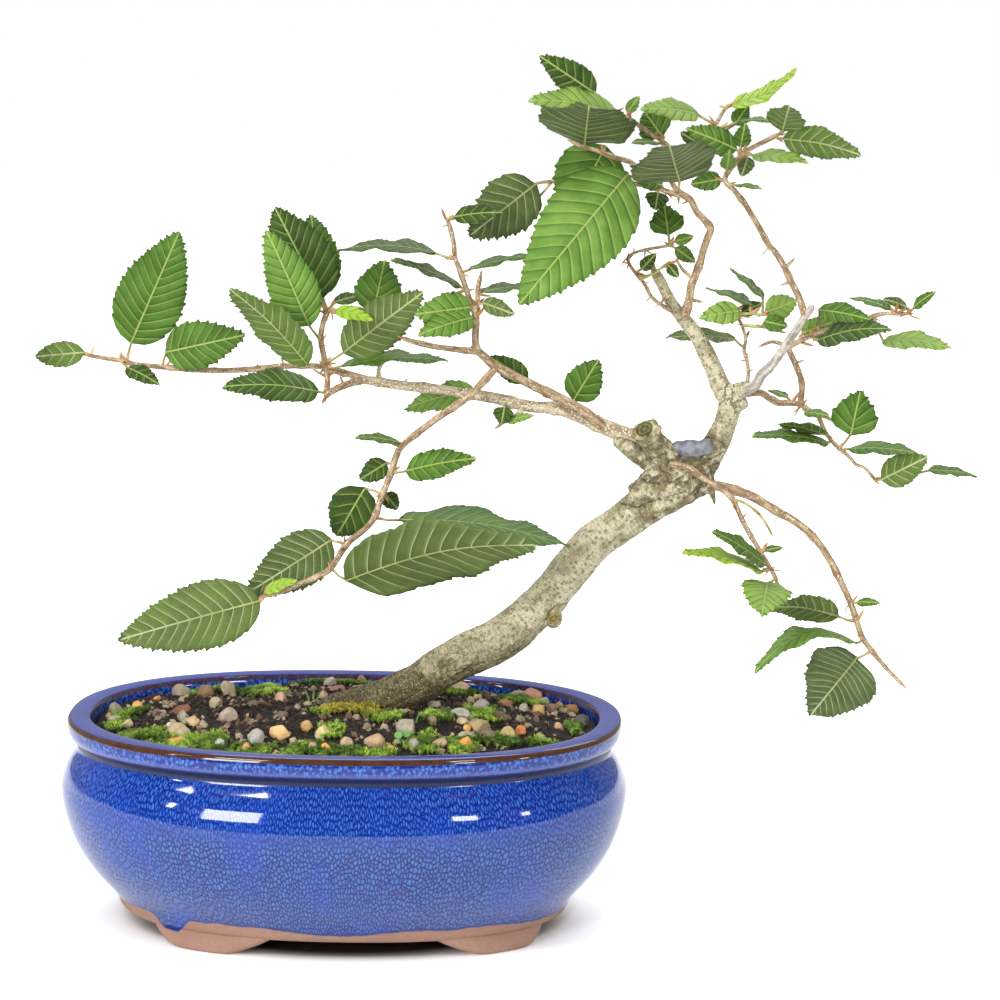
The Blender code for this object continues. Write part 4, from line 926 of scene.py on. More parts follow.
def tube(bm, rows, sides, step, rough, layer=None, far=0.0, knots=0.0):
    """Sweep a closed, slightly uneven round stem along a table's rows, swelling at its knots.

    `far` moves the unevenness on, so that no two stems have the same.
    """
    places, sizes = smooth_path(rows, step)
    turns = frames(places)
    gone = 0.0
    rings = []
    last = len(places) - 1
    for i, (place, size, (right, up)) in enumerate(zip(places, sizes, turns)):
        gone += (place - places[i - 1]).length / MM if i else 0.0
        ring = []
        for k in range(sides):
            a = math.tau * k / sides
            way = right * math.cos(a) + up * math.sin(a)
            lump = noise.noise(way * 1.2 + Vector((gone * 0.11 + far, far, 0)))
            lump += 0.5 * noise.noise(way * 2.5 + Vector((gone * 0.4, far, 5)))
            swell = 1 + rough * lump + knots * max(0.0, math.sin(gone * 0.42 + far)) ** 6
            point = bm.verts.new(place + way * size * swell * (0.72 if i in (0, last) else 1.0))
            if layer:
                point[layer] = (math.cos(a) * size / MM, math.sin(a) * size / MM, gone + far * 10)
            ring.append(point)
        rings.append(ring)
    skin(bm, rings)


def along_bark(mesh, table, step):
    """Store on each point where it lies on its stem: across it, over it and along it, in millimetres."""
    samples = []
    for number, rows in enumerate(table):
        places, sizes = smooth_path(rows, step)
        gone = 0.0
        for i, (place, size, turn) in enumerate(zip(places, sizes, frames(places))):
            gone += (place - places[i - 1]).length / MM if i else 0.0
            samples.append((place, size, turn, gone + number * 97))
    tree = KDTree(len(samples))
    for i, sample in enumerate(samples):
        tree.insert(sample[0], i)
    tree.balance()
    carried = mesh.attributes.new("bark", "FLOAT_VECTOR", "POINT")
    for vert in mesh.vertices:
        near = min(tree.find_n(vert.co, 3), key=lambda hit: hit[2] - samples[hit[1]][1])
        place, size, (right, up), gone = samples[near[1]]
        away = (vert.co - place) / MM
        carried.data[vert.index].vector = (away.dot(right), away.dot(up), gone + away.dot(right.cross(up)))


bm = bmesh.new()
for number, rows in enumerate(WOOD):
    tube(bm, rows, 28 if number == 0 else 18, TRUNK_STEP, 0.05 if number < 4 else 0.09, None, number * 1.7)
trunk = from_bmesh("trunk_wood", bm)
knit = trunk.modifiers.new("knit", "REMESH")
knit.mode = "VOXEL"
knit.voxel_size = 0.6 * MM
knit.adaptivity = 0.0
soften = trunk.modifiers.new("soften", "SMOOTH")
soften.iterations = 5
soften.factor = 0.5
trunk = baked(trunk)
along_bark(trunk.data, WOOD, TRUNK_STEP)


def swelled(mesh, lift):
    """Push each point of a mesh out along its normal by lift(point) metres."""
    moved = [vert.co + vert.normal * lift(vert) for vert in mesh.vertices]
    for vert, place in zip(mesh.vertices, moved):
        vert.co = place


CROTCH = seen((113, 153, 0))
CUT_FACE = seen((100.8, 169.7, -10.2))
KNOB_FACE = seen((70.9, 104.4, -5.5))
WEB = seen((99, 161.5, -3))


def bark_lift(vert):
    x, y, gone = trunk.data.attributes["bark"].data[vert.index].vector
    furrow = noise.fractal(Vector((x * 0.5, y * 0.5, gone * 0.12)), 1.0, 2.0, 4)
    wrinkle = noise.noise(Vector((x * 0.3, y * 0.3, gone * 1.2)))
    knuckle = max(0.0, 1 - (vert.co - CROTCH).length / (26 * MM))
    rugged = noise.fractal(vert.co * 210, 1.0, 2.0, 4)
    from_cut = (vert.co - CUT_FACE).length / MM - 4.4
    collar = math.exp(-(from_cut / 1.8) ** 2) * (1 + 1.6 * noise.fractal(vert.co * 330, 1.0, 2.0, 2))
    web = math.exp(-((vert.co - WEB).length / MM / 6) ** 2)
    burr = math.exp(-((vert.co - KNOB_FACE).length / MM / 5) ** 2)
    forms = 0.9 * knuckle * rugged + 1.1 * collar + 1.3 * web + 0.9 * burr
    return (0.3 * furrow + 0.1 * wrinkle + forms) * MM


swelled(trunk.data, bark_lift)


def on_bark(s, scale, detail=3.0, stretch=(1, 1, 1)):
    """Noise that follows a stem, with so many lumps in a millimetre round it."""
    spot = s.node("ShaderNodeAttribute", {"attribute_name": "bark"}, out="Vector")
    spot = s.node("ShaderNodeMapping", {}, {"Vector": spot, "Scale": stretch})
    return s.node("ShaderNodeTexNoise", {}, {"Vector": spot, "Scale": scale, "Detail": detail})


def pores(s, scale, size, crowd=0.5):
    """Round raised dots on a stem, so many in a millimetre; `crowd` of their places are taken."""
    spot = s.node("ShaderNodeAttribute", {"attribute_name": "bark"}, out="Vector")
    dot = s.node("ShaderNodeTexVoronoi", {}, {"Vector": spot, "Scale": scale})
    chance = s.node("ShaderNodeTexVoronoi", {}, {"Vector": spot, "Scale": scale}, out="Color")
    kept = s.node("ShaderNodeSeparateXYZ", {}, {0: chance}).ease(crowd, crowd + 0.02, 1.0, 0.0)
    return dot.ease(size, size + 0.16, 1.0, 0.0) * kept


def bark_paint(s):
    z = s.along("Z")
    base = on_bark(s, 0.2, 5.0, (1, 1, 0.6)).ease(0.3, 0.54).blend(tint("9f9573"), tint("cfc8a8"))
    base = (on_bark(s, 1.2, 6.0, (0.35, 0.35, 1.8)).ease(0.44, 0.64) * 0.6).blend(base, tint("8b8262"))
    foot = on_bark(s, 0.7, 6.0).ease(0.38, 0.64).blend(tint("4b4124"), tint("9b8f67"))
    foot = (on_bark(s, 0.9, 4.0, (0.25, 0.25, 2.0)).ease(0.55, 0.68) * 0.55).blend(foot, tint("cfc7a6"))
    height = z + (on_bark(s, 0.1, 3.0) - 0.5) * 0.03
    base = height.ease(0.110, 0.082).blend(base, foot)
    base = (height.ease(0.092, 0.074) * 0.85).blend(base, tint("47391f"))
    # Round the crotch: dark flaking bark, which also stands as painted shade in the crotch.
    crotch_flakes_and_shade = s.away_from(CROTCH).ease(0.029, 0.015) * s.grain(260, 6.0).ease(0.4, 0.52)
    flake_and_shade_colours = s.grain(500, 4.0).ease(0.35, 0.62).blend(tint("33251a"), tint("7d7048"))
    base = (crotch_flakes_and_shade * 0.85).blend(base, flake_and_shade_colours)
    base = (pores(s, 0.62, 0.26, 0.75) * 0.58).blend(base, tint("6f6436"))
    base = (pores(s, 1.1, 0.22, 0.7) * 0.5).blend(base, tint("837844"))
    base = (pores(s, 1.5, 0.2, 0.3) * 0.5).blend(base, tint("f3efe3"))
    dead = s.along("X").ease(0.0775, 0.0795) * z.ease(0.1795, 0.182)
    grey = on_bark(s, 0.8, 4.0, (1, 1, 0.2)).ease(0.35, 0.65).blend(tint("9a9088"), tint("d6cdc6"))
    base = (dead * 0.85).blend(base, grey)
    for face, reach, pale, dark in ((CUT_FACE, 0.0034, "6f7034", "343a14"),
                                    (KNOB_FACE, 0.0024, "b98f4e", "6d6a2c")):
        away = s.away_from(face)
        mossy = away.ease(reach * 3.2, reach) * s.grain(420, 5.0).ease(0.4, 0.56)
        growth = s.grain(700, 3.0).ease(0.35, 0.65).blend(tint("4c4420"), tint("8b8249"))
        base = (mossy * 0.8).blend(base, growth)
        rings = s.math("SINE", away * 5000 + s.grain(400, 4.0) * 9).ease(-1, 1)
        base = (away.ease(reach, reach * 0.8) * 0.9).blend(base, rings.blend(tint(dark), tint(pale)))
    return base


def bark_height(s):
    wrinkles = on_bark(s, 0.9, 3.0, (0.3, 0.3, 2.6))
    return on_bark(s, 1.1, 6.0, (1, 1, 0.45)) + wrinkles * 0.7 + pores(s, 0.62, 0.26, 0.75) * 0.4


bark = finish("mottled grey bark", 0.8, bark_paint, bark_height, 0.0009)
dress(trunk, "bark", "trunk", mats=[bark])


# Wound paste: grey putty smeared by hand over the cut at the crotch, left rough.

PASTE_OUTLINE = (
    (111, 165.2), (115, 165.8), (120, 165.6), (123, 166), (124.2, 163.6), (123.4, 161), (120, 160.4),
    (117, 160), (114, 160.4), (112, 161.3), (110, 163))
PASTE_MIDDLE = (117, 163)
rings = []
for depth, spread in ((-1.5, 0.85), (-3.5, 0.98), (-6.2, 1.0), (-7.3, 0.86), (-7.8, 0.5)):
    x0, z0 = PASTE_MIDDLE
    rings.append([seen((x0 + (x - x0) * spread, z0 + (z - z0) * spread, depth)) for x, z in PASTE_OUTLINE])
paste = from_bmesh("paste_smear", loft(rings))
knead = paste.modifiers.new("knead", "REMESH")
knead.mode = "VOXEL"
knead.voxel_size = 0.35 * MM
press = paste.modifiers.new("soften", "SMOOTH")
press.iterations = 8
paste = baked(paste)
swelled(paste.data, lambda vert: 0.55 * noise.fractal(vert.co * 260, 1.0, 2.0, 3) * MM)
paste.data.shade_smooth()


def paste_paint(s):
    return s.grain(420, 4.0).ease(0.3, 0.7).blend(tint("63656c"), tint("8e9096"))


paste_mat = finish("grey wound paste", 0.7, paste_paint, lambda s: s.grain(1500, 3.0), 0.0002)
dress(paste, "paste", "wound_paste", mats=[paste_mat])


# Left limb: a long level branch with thin speckled bark, and the first of the leafy pieces.
# Twigs are swept stems with buds and bud scales at their joints; leaves are doubly toothed
# blades, pleated between their side veins, on short stalks.

LEAF_RATIO = 0.48
LEAF_FOLD = 0.08
ARCH_SHARE = 0.04
BLADE_THICKNESS = 0.28
TONES = {"d": 0.08, "m": 0.36, "l": 0.58, "b": 0.78, "y": 1.0, "g": 0.22}


def blade(bm, layers, row, tone, seed):
    """One toothed, pleated blade, its upper face turned as the table says; gives where its stalk joins."""
    base, tip, width, facing = row[1:5]
    start = seen(base)
    end = seen(tip)
    length = (end - start).length
    along = (end - start) / length
    bow = row[5] * MM if len(row) > 5 else ARCH_SHARE * length
    toward = (POT + EYE * MM - start).normalized()
    toward = (toward - along * toward.dot(along)).normalized()
    across = along.cross(toward)
    if across.z < -0.15 or (abs(across.z) <= 0.15 and across.x < 0):
        across = -across
    broad = max(width * MM, LEAF_RATIO * length)
    turn = math.acos(min(1.0, width * MM / broad))
    if facing < 0:
        turn = math.pi - turn
    up = toward * math.cos(turn) + across * math.sin(turn)
    out = up.cross(along)
    veins = max(5, min(13, round(length / MM / 3.3)))
    rows = 4 * veins
    columns = 6
    bite = min(0.75 * MM, 0.042 * broad)
    random.seed(seed)
    drift = random.uniform(0, 9)

    def outline(t):
        t = min(1.0, max(0.0, t))
        return 0.48 * broad * max(0.0, math.sin(math.pi * t ** 0.68)) ** 0.78

    grid = {}
    for hand in (1, -1):
        for j in range(rows + 1):
            v = (j / rows) ** 1.15
            skew = 0.4 * (1 - v) ** 0.8 * v / (v + 0.22) * (0.5 * broad / length / 0.24)
            edge_t = v + skew
            half = outline(edge_t)
            fade = min(1.0, v * 14) * min(1.0, (1 - v) * 10)
            tooth = (1.0, -0.5, 0.35, 0.1)[j % 4] * bite * fade * random.uniform(0.5, 1.3)
            for k in range(columns + 1):
                a = k / columns
                if k == 0 and hand < 0:
                    grid[hand, j, 0] = grid[1, j, 0]
                    continue
                rim = max(0.0, a * 3 - 2)
                t = v + skew * a ** 1.25 + max(0.0, tooth) * 0.75 / length * rim
                s = half * a + tooth * rim
                pleat = math.sin(math.pi * (j % 4) / 4) * 0.1 * length / veins * a * (1.15 - a)
                ripple = math.sin(t * 15 + drift + hand) + 0.5 * math.sin(t * 27 + drift)
                wave = 0.032 * broad * a * a * ripple
                sag = -0.02 * broad * (a * a)
                rise = bow * math.sin(math.pi * min(1.0, t)) + LEAF_FOLD * s + pleat + wave + sag
                point = bm.verts.new(start + along * (t * length) + out * s * hand + up * rise)
                point[layers["side"]] = a
                point[layers["vein"]] = j / 4
                point[layers["tone"]] = tone
                point[layers["wide"]] = half / MM
                grid[hand, j, k] = point
        for j in range(rows):
            for k in range(columns):
                steps = ((j, k), (j + 1, k), (j + 1, k + 1), (j, k + 1))
                corners = [grid[hand, *step] for step in steps]
                bm.faces.new(corners if hand > 0 else corners[::-1])
    rib = [start + along * (length * t) + up * (bow * math.sin(math.pi * t) - 0.16 * MM)
           for t in (0.0, 0.12, 0.3, 0.5, 0.7, 0.88)]
    return start, along, up, rib


def rod(bm, places, sizes, sides, layer, tone, tone_layer):
    """A thin round stalk or rib through the places given."""
    rings = []
    for i, (place, size, (right, over)) in enumerate(zip(places, sizes, frames(places))):
        ring = []
        for k in range(sides):
            a = math.tau * k / sides
            point = bm.verts.new(place + (right * math.cos(a) + over * math.sin(a)) * size)
            point[layer] = (math.cos(a), math.sin(a), i * 2.0)
            point[tone_layer] = tone
            ring.append(point)
        rings.append(ring)
    skin(bm, rings)


UPPER_GREENS = ((0.0, tint("29440f")), (0.35, tint("48731f")), (0.6, tint("6c983a")), (0.8, tint("91b452")),
                (1.0, tint("a6cf2c")))
UNDER_GREENS = ((0.0, tint("43582a")), (0.24, tint("5f7435")), (0.4, tint("587824")), (0.6, tint("719036")),
                (1.0, tint("a6c842")))


def leaf_paint(under):
    vein_colour = tint("c3cf98") if under else tint("b3c86a")
    deep = tint("38481f") if under else tint("1c3607")
    greens = {"stops": UNDER_GREENS if under else UPPER_GREENS}

    def paint(s):
        side = s.carried("side")
        vein = s.carried("vein")
        tone = s.carried("tone")
        near = abs(s.math("FRACT", vein + 0.5) - 0.5)
        line = near.ease(0.02, 0.06, 1.0, 0.0) * side.ease(0.55, 0.97, 1.0, 0.0)
        middle = (side * s.carried("wide")).ease(0.16, 0.36, 1.0, 0.0)
        web = s.cells(2400, "DISTANCE_TO_EDGE").ease(0.0, 0.14, 1.0, 0.0)
        patch = s.grain(110, 4.0).ease(0.3, 0.72)
        colour = s.node("ShaderNodeValToRGB", greens, {0: tone + patch * 0.18 - 0.09})
        colour = (web * (0.17 if under else 0.12)).blend(colour, vein_colour)
        # Painted shade and light on the pleats: each panel between side veins is darker just after a vein and
        # paler just before the next.
        panel = s.math("FRACT", vein)
        colour = (panel.ease(0.0, 0.5, 1.0, 0.0) * (0.22 if under else 0.42)).blend(colour, deep)
        colour = (panel.ease(0.65, 1.0) * 0.16).blend(colour, vein_colour)
        colour = (side.ease(0.0, 0.3, 1.0, 0.0) * 0.25).blend(colour, deep)
        lines = s.math("MAXIMUM", line * (0.7 if under else 0.5), middle * (0.9 if under else 0.8))
        return lines.blend(colour, vein_colour)
    return paint


def leaf_height(under):
    def height(s):
        near = abs(s.math("FRACT", s.carried("vein") + 0.5) - 0.5)
        ridge = near.ease(0.02, 0.16, 1.0, 0.0)
        web = s.cells(2600, "DISTANCE_TO_EDGE").ease(0.0, 0.2, 1.0, 0.0)
        return (ridge * 0.8 + web * 0.35) * (1.0 if under else -1.0) + s.grain(500, 2.0) * 0.2
    return height


leaf_upper = finish("leaf upper face", 0.42, leaf_paint(False), leaf_height(False), 0.0003,
                    Specular_IOR_Level=0.3)
leaf_under = finish("leaf underside", 0.62, leaf_paint(True), leaf_height(True), 0.0003,
                    Specular_IOR_Level=0.2)


def twig_paint(s):
    young = s.carried("tone")
    base = on_bark(s, 0.9, 4.0, (1, 1, 0.3)).ease(0.35, 0.7).blend(tint("84694a"), tint("bda684"))
    green = on_bark(s, 0.9, 3.0, (1, 1, 0.3)).ease(0.3, 0.7).blend(tint("8f9a4c"), tint("bcc077"))
    base = (pores(s, 1.3, 0.2, 0.6) * 0.8).blend(base, tint("e9dfca"))
    dark = on_bark(s, 1.6, 2.0, (1, 1, 1.6)).ease(0.62, 0.7)
    base = (dark * 0.5).blend(base, tint("5f4a2e"))
    return young.ease(0.2, 0.9).blend(base, green)


twig_bark = finish("tan twig bark", 0.7, twig_paint, lambda s: on_bark(s, 1.8, 4.0, (1, 1, 0.5)), 0.00025)


def limb_paint(s):
    base = on_bark(s, 0.5, 5.0, (1, 1, 0.3)).ease(0.35, 0.65).blend(tint("9a8667"), tint("cbbd9f"))
    base = (pores(s, 1.0, 0.2, 0.45) * 0.7).blend(base, tint("7c5f43"))
    return (pores(s, 1.2, 0.3, 0.75) * 0.85).blend(base, tint("ece3d2"))


def limb_height(s):
    return on_bark(s, 1.4, 4.0, (1, 1, 0.6)) + pores(s, 0.95, 0.24, 0.8) * 0.5


limb_bark = finish("speckled limb bark", 0.78, limb_paint, limb_height, 0.0003)

# A bud: a small pointed egg of overlapping scales. A shed bud scale: a papery brown strap.

bud_rings = []
for i in range(7):
    t = i / 6
    size = 0.5 * math.sin(math.pi * (0.12 + 0.88 * t)) ** 0.8 * (1 - 0.25 * t)
    ring = []
    for k in range(9):
        a = math.tau * k / 9
        wide = size * (1 + 0.12 * math.cos(3 * a + 2.2 * i))
        ring.append(Vector((wide * math.cos(a), wide * math.sin(a), 2.4 * t)) * MM)
    bud_rings.append(ring)
bud_shape = from_bmesh("bud", loft(bud_rings))
bm = bmesh.new()
strap = []
for i in range(6):
    t = i / 5
    half = 0.42 * math.sin(math.pi * (0.15 + 0.85 * t)) ** 0.7
    strap.append([bm.verts.new(Vector((hand * half, 0.9 * t ** 2 - 0.2 * hand * hand, 4.2 * t)) * MM)
                  for hand in (-1, 0, 1)])
for low, high in zip(strap, strap[1:]):
    for k in range(2):
        bm.faces.new((low[k], low[k + 1], high[k + 1], high[k]))
scale_shape = from_bmesh("scale", bm)
scale_thick = scale_shape.modifiers.new("thick", "SOLIDIFY")
scale_thick.thickness = 0.12 * MM
scale_shape = baked(scale_shape)


def bud_paint(s):
    brown = s.grain(900, 3.0).blend(tint("7c4a22"), tint("b5763d"))
    straw = s.grain(900, 3.0).blend(tint("b5834b"), tint("e0b987"))
    return s.carried("tone").blend(brown, straw)


bud_mat = finish("bud scales", 0.6, bud_paint, lambda s: s.grain(1800, 2.0), 0.00015)


def sprout(name, points, shape):
    """Set buds or scales at the points of a stem, aimed and sized by what each point carries."""
    mesh = bpy.data.meshes.new(name)
    mesh.from_pydata([place for place, aim, size in points], [], [])
    mesh.attributes.new("aim", "FLOAT_VECTOR", "POINT")
    mesh.attributes.new("size", "FLOAT", "POINT")
    for i, (place, aim, size) in enumerate(points):
        mesh.attributes["aim"].data[i].vector = aim
        mesh.attributes["size"].data[i].value = size

    def sow(node, given):
        aim = node("GeometryNodeInputNamedAttribute", {"data_type": "FLOAT_VECTOR"}, {"Name": "aim"},
                   out="Attribute")
        size = node("GeometryNodeInputNamedAttribute", {"data_type": "FLOAT"}, {"Name": "size"},
                    out="Attribute")
        turn = node("FunctionNodeAlignRotationToVector", {"axis": "Z"}, {"Vector": aim})
        return given["Geometry"], turn, size * given["Scale"], 0

    obj = planted(name, mesh, {"Scale": 1.0}, shape, bud_mat, sow)
    obj.data.shade_smooth()
    return obj


def leafy(node, twigs, leaves, tones, wood=twig_bark, slot="foliage", shed=(0, 0, 1)):
    """A leafy stem: twigs and stalks, blades, buds and bud scales, standing for one solid.

    Each twig is a row of (across, up, depth, thickness). Each leaf is its stalk's foot, its base,
    its tip, the width it shows and the face it shows, 1 for the upper, and may end in how far it
    arches. `tones` has a letter for each leaf. `shed` holds the choices for how many old scales
    still hang at each joint of a twig.
    """
    seed = sum(map(ord, node))
    bm = bmesh.new()
    along_layer = bm.verts.layers.float_vector.new("bark")
    tone_layer = bm.verts.layers.float.new("tone")
    for number, rows in enumerate(twigs):
        before = len(bm.verts)
        tube(bm, rows, 14 if rows[0][3] > 3 else 9, 0.9, 0.1, along_layer, seed % 17 + number * 1.3, 0.2)
        bm.verts.ensure_lookup_table()
        young = min(1.0, max(0.0, (1.7 - rows[0][3]) * 1.2))
        for i in range(before, len(bm.verts)):
            bm.verts[i][tone_layer] = young
    blades = bmesh.new()
    layers = {key: blades.verts.layers.float.new(key) for key in ("side", "vein", "tone", "wide")}
    buds = []
    scales = []
    for number, (row, letter) in enumerate(zip(leaves, tones)):
        start, along, up, rib = blade(blades, layers, row, TONES[letter], seed + number)
        foot = seen(row[0])
        reach = (start - foot).length
        middle = foot.lerp(start, 0.5) - up * reach * 0.05
        sink = start + along * 0.6 * MM - up * 0.1 * MM
        rod(bm, [foot, middle, sink], [0.55 * MM, 0.42 * MM, 0.45 * MM], 7, along_layer, 0.5, tone_layer)
        thick = min(0.34, 0.14 + 0.005 * (rib[-1] - rib[0]).length / MM) * MM
        rod(bm, rib, [thick * f for f in (1.0, 0.85, 0.7, 0.55, 0.4, 0.22)], 6, along_layer, 1.0, tone_layer)
        random.seed(seed + number * 7)
        away = (start - foot).normalized() if reach > 0.5 * MM else along
        aim = away + Vector((random.uniform(-0.4, 0.4), random.uniform(-0.4, 0.4), random.uniform(0, 0.5)))
        buds.append((foot + away * 0.5 * MM, aim.normalized(), random.uniform(0.7, 1.15)))
        for _ in range(random.choice((1, 2, 2, 3))):
            hang = Vector((random.uniform(-1, 1), random.uniform(-1, 1), random.uniform(-0.8, 0.9)))
            scales.append((foot, (hang + away * 0.5).normalized(), random.uniform(0.6, 1.25)))
    random.seed(seed + 991)
    for rows in twigs:
        for row in rows[1:-1]:
            for _ in range(random.choice(shed)):
                hang = Vector((random.uniform(-1, 1), random.uniform(-1, 1), random.uniform(-1, 1)))
                scales.append((seen(row), hang.normalized(), random.uniform(0.5, 1.0)))
        end = seen(rows[-1])
        aim = (end - seen(rows[-2])).normalized()
        buds.append((end - aim * 0.3 * MM, aim, random.uniform(0.6, 1.0) * min(1.3, 0.45 + rows[-1][3] / 2)))
    dress(from_bmesh(node + "_twigs", bm), slot, node, mats=[wood])
    leaf_piece = from_bmesh(node + "_leaves", blades)
    thick = leaf_piece.modifiers.new("thickness", "SOLIDIFY")
    thick.thickness = BLADE_THICKNESS * MM
    thick.offset = -1.0
    thick.material_offset = 1
    thick.material_offset_rim = 1
    leaf_piece.data.materials.append(leaf_upper)
    leaf_piece.data.materials.append(leaf_under)
    dress(baked(leaf_piece), "foliage", node)
    dress(sprout(node + "_buds", buds, bud_shape), "foliage", node)
    dress(sprout(node + "_scales", scales, scale_shape), "foliage", node)


BRANCH_LEFT = (
    ((116, 154, 1, 8.6), (111, 160, 1, 7.4), (102, 165.5, 1, 6.3), (95, 167.5, 1, 5.8), (88, 170, 1, 5.4),
     (80, 173.5, 1, 4.8), (72, 176.3, 1, 4.4), (62, 177.2, 1, 4.1), (50, 180, 1, 3.8), (40, 181.5, 1, 3.6),
     (30, 183, 1, 3.4), (20, 184, 1, 3.2), (10, 185.5, 1, 3), (4, 186, 1, 2.6)),
    ((60.5, 176.5, 0.5, 2.2), (57, 173, -1, 1.6), (54, 172, -1.5, 1.4), (51.5, 170, -2, 1.2)),
    ((12, 185.5, 1, 1.9), (12, 190, 1.5, 1.4), (16, 195, 2, 1.1)),
)
leafy("branch_left", BRANCH_LEFT, (
    ((46, 181, 2), (44, 182.5, 4), (20, 176, 10), 9, 1),
    ((78, 174.5, 1.5), (77, 179, 3), (85.5, 193, 8), 13, 1),
    ((54, 178.8, 0), (54, 177, -2.5), (53, 171, -6), 7, 1),
    ((53, 171.5, -1.5), (55, 172, -2.5), (64, 174, -7), 3, 1),
), "lmdb", limb_bark, "bark")


# Rising twig from the left limb, with thin leaves seen edge-on.

BRANCH_UP = (
    ((87, 170.5, -1, 3.8), (78, 177, -3.4, 3.4), (66, 183, -5, 3.2), (58, 187, -7, 3), (51, 190.5, -8, 2.9),
     (47, 194, -9, 2.8), (44.5, 196, -10, 2.7)),
    ((45.5, 195.5, -10, 2.4), (36, 196.5, -11, 2), (30, 197.3, -12, 1.9), (23, 199, -13, 1.7),
     (20, 200, -13, 1.5)),
    ((44.8, 195, -10, 2.6), (44.2, 200, -10, 2.5), (44.5, 205, -10, 2.4), (44, 209, -10, 2.3),
     (43, 211.3, -10, 2.1)),
    ((43.6, 209, -10, 2), (41, 217, -10, 1.8), (39, 223, -10, 1.7), (37.5, 227, -10, 1.6),
     (37, 232, -10, 1.5), (35.5, 238, -10, 1.4), (34.5, 240, -10, 1.2)),
    ((43.8, 208.5, -10, 1.9), (45, 212, -10, 1.7), (45, 216, -9.5, 1.5), (46, 221, -9, 1.3)),
)
leafy("spray_mid_left", BRANCH_UP, (
    ((37.5, 226.5, -10), (31, 228.7, -10), (-2, 229.5, -6), 4, 1, 2),
    ((41, 216, -10), (39.5, 217.3, -12), (16, 226.5, -20), 3, 1),
    ((44.5, 207, -10), (43, 210.5, -12), (24, 208, -21), 12, 1),
    ((44.3, 204, -10), (41, 206.5, -8), (26.5, 205.5, -3), 7, 1),
    ((44.5, 204.5, -10), (43.5, 207, -14), (25, 201, -26), 9, 1),
    ((34.6, 239.6, -10), (37, 240.5, -11), (53.5, 242, -14), 6, 1),
    ((39.3, 222, -10), (42, 223, -10), (66, 228, -6), 2.5, 1),
    ((45, 215, -9.6), (46, 215.5, -9), (65, 217.5, -3), 3, 1),
    ((44.7, 211, -10), (46.5, 212, -12), (57.5, 208, -18), 6, -1),
    ((64, 184, -5.5), (62, 186, -3), (48.5, 194, 3), 8, 1),
), "ddldldmmgd")


# Twig that hangs to the lower left, with three large leaves turned to show their undersides.

leafy("spray_lower_left", (
    ((51, 190, -8.5, 2.6), (42, 180.5, -12, 2.4), (30, 172, -16, 2.3), (20, 164, -19, 2.2),
     (17.5, 160, -20, 2.2), (16, 155, -21, 2.2), (14, 150, -22, 2.2), (12, 145, -23, 2.1),
     (10, 139, -24, 2.1), (6, 134.5, -25, 2.1), (1, 130.5, -26, 2.1), (-2, 126, -27, 2), (-5, 121.5, -28, 2),
     (-9, 119, -29, 2), (-15, 116.5, -30, 1.9), (-22, 113.5, -31, 1.8), (-28, 112, -32, 1.6)),
), (
    ((19.6, 163.6, -19), (19, 164.8, -21), (3.5, 166.5, -28), 3, 1),
    ((16.6, 157, -20.5), (14.5, 158, -18), (5, 152, -12), 8, 1),
    ((16, 154.5, -21), (20.5, 155, -23), (44.5, 159.5, -28), 10, 1),
    ((12.8, 147, -22.5), (7, 149.5, -20), (-3, 132.5, -14), 16, 1, 3),
    ((13.2, 148, -22), (13.6, 147.5, -20), (18, 142, -15), 6, 1),
    ((10.2, 139, -24), (18.5, 138.5, -22), (76.5, 129.5, -22), 9.5, 1, 3),
    ((-4.5, 121.5, -28), (0, 117.5, -32), (65, 130, -56), 22, -1, 5),
    ((0, 130, -26), (-4.5, 131.5, -24), (-34, 112.5, -22), 19, -1, 2),
    ((-27.5, 112.2, -32), (-29, 110.4, -33), (-78, 96.5, -40), 23, -1, 1.5),
    ((-27.5, 112.2, -32), (-27.5, 113.6, -33.5), (-16.5, 117.5, -38), 4, 1),
), "mdmddmgdgy")


# Upright cluster of leaves at the limb's end.

CLUSTER = (
    ((6, 185.8, 0.5, 2.6), (0, 184, -2, 2.4), (-5, 181.5, -4, 2.3), (-6, 180, -4, 2)),
    ((-6, 180.6, -4, 2.1), (-5.5, 186, -4, 2), (-6.5, 193, -4, 2), (-7.5, 199, -4, 2), (-7, 204, -4, 1.9),
     (-5.5, 208, -4, 1.7), (-4, 210.5, -4, 1.5)),
)
leafy("spray_left_cluster", CLUSTER, (
    ((-7.4, 199, -4), (-11.5, 204, -7), (-25.5, 236, -14), 17, 1, 3),
    ((-6, 207, -4), (-7, 213, -3), (-22.5, 243.5, 5), 22, 1, 2),
    ((-5, 209, -4), (-7, 214, 2), (-10.5, 241.5, 14), 16, 1, 2),
    ((-5.8, 187, -4), (-12, 191, -8), (-38, 216.5, -18), 13, -1, 2),
    ((-5.8, 181.5, -4), (-8.5, 182, -7), (-41, 183.5, -16), 11, 1, 2),
    ((-5.8, 191.5, -4), (0, 195, -7), (27, 215.5, -16), 17, -1, 2),
    ((-4.6, 209.6, -4), (10, 208, 0), (14, 226, 8), 16, 1, 2),
    ((-4.3, 210.2, -4), (-3, 212, -2), (8, 214.5, 4), 4, 1),
    ((-4.6, 209.6, -4), (-2.5, 209.6, -7), (10, 206, -13), 5, 1),
    ((-5.8, 190, -4), (-0.5, 190.7, -9), (35, 192.4, -16), 4, 1, 2),
), "ldmmdgmdym")


# Twig that reaches to the far left behind the cluster.

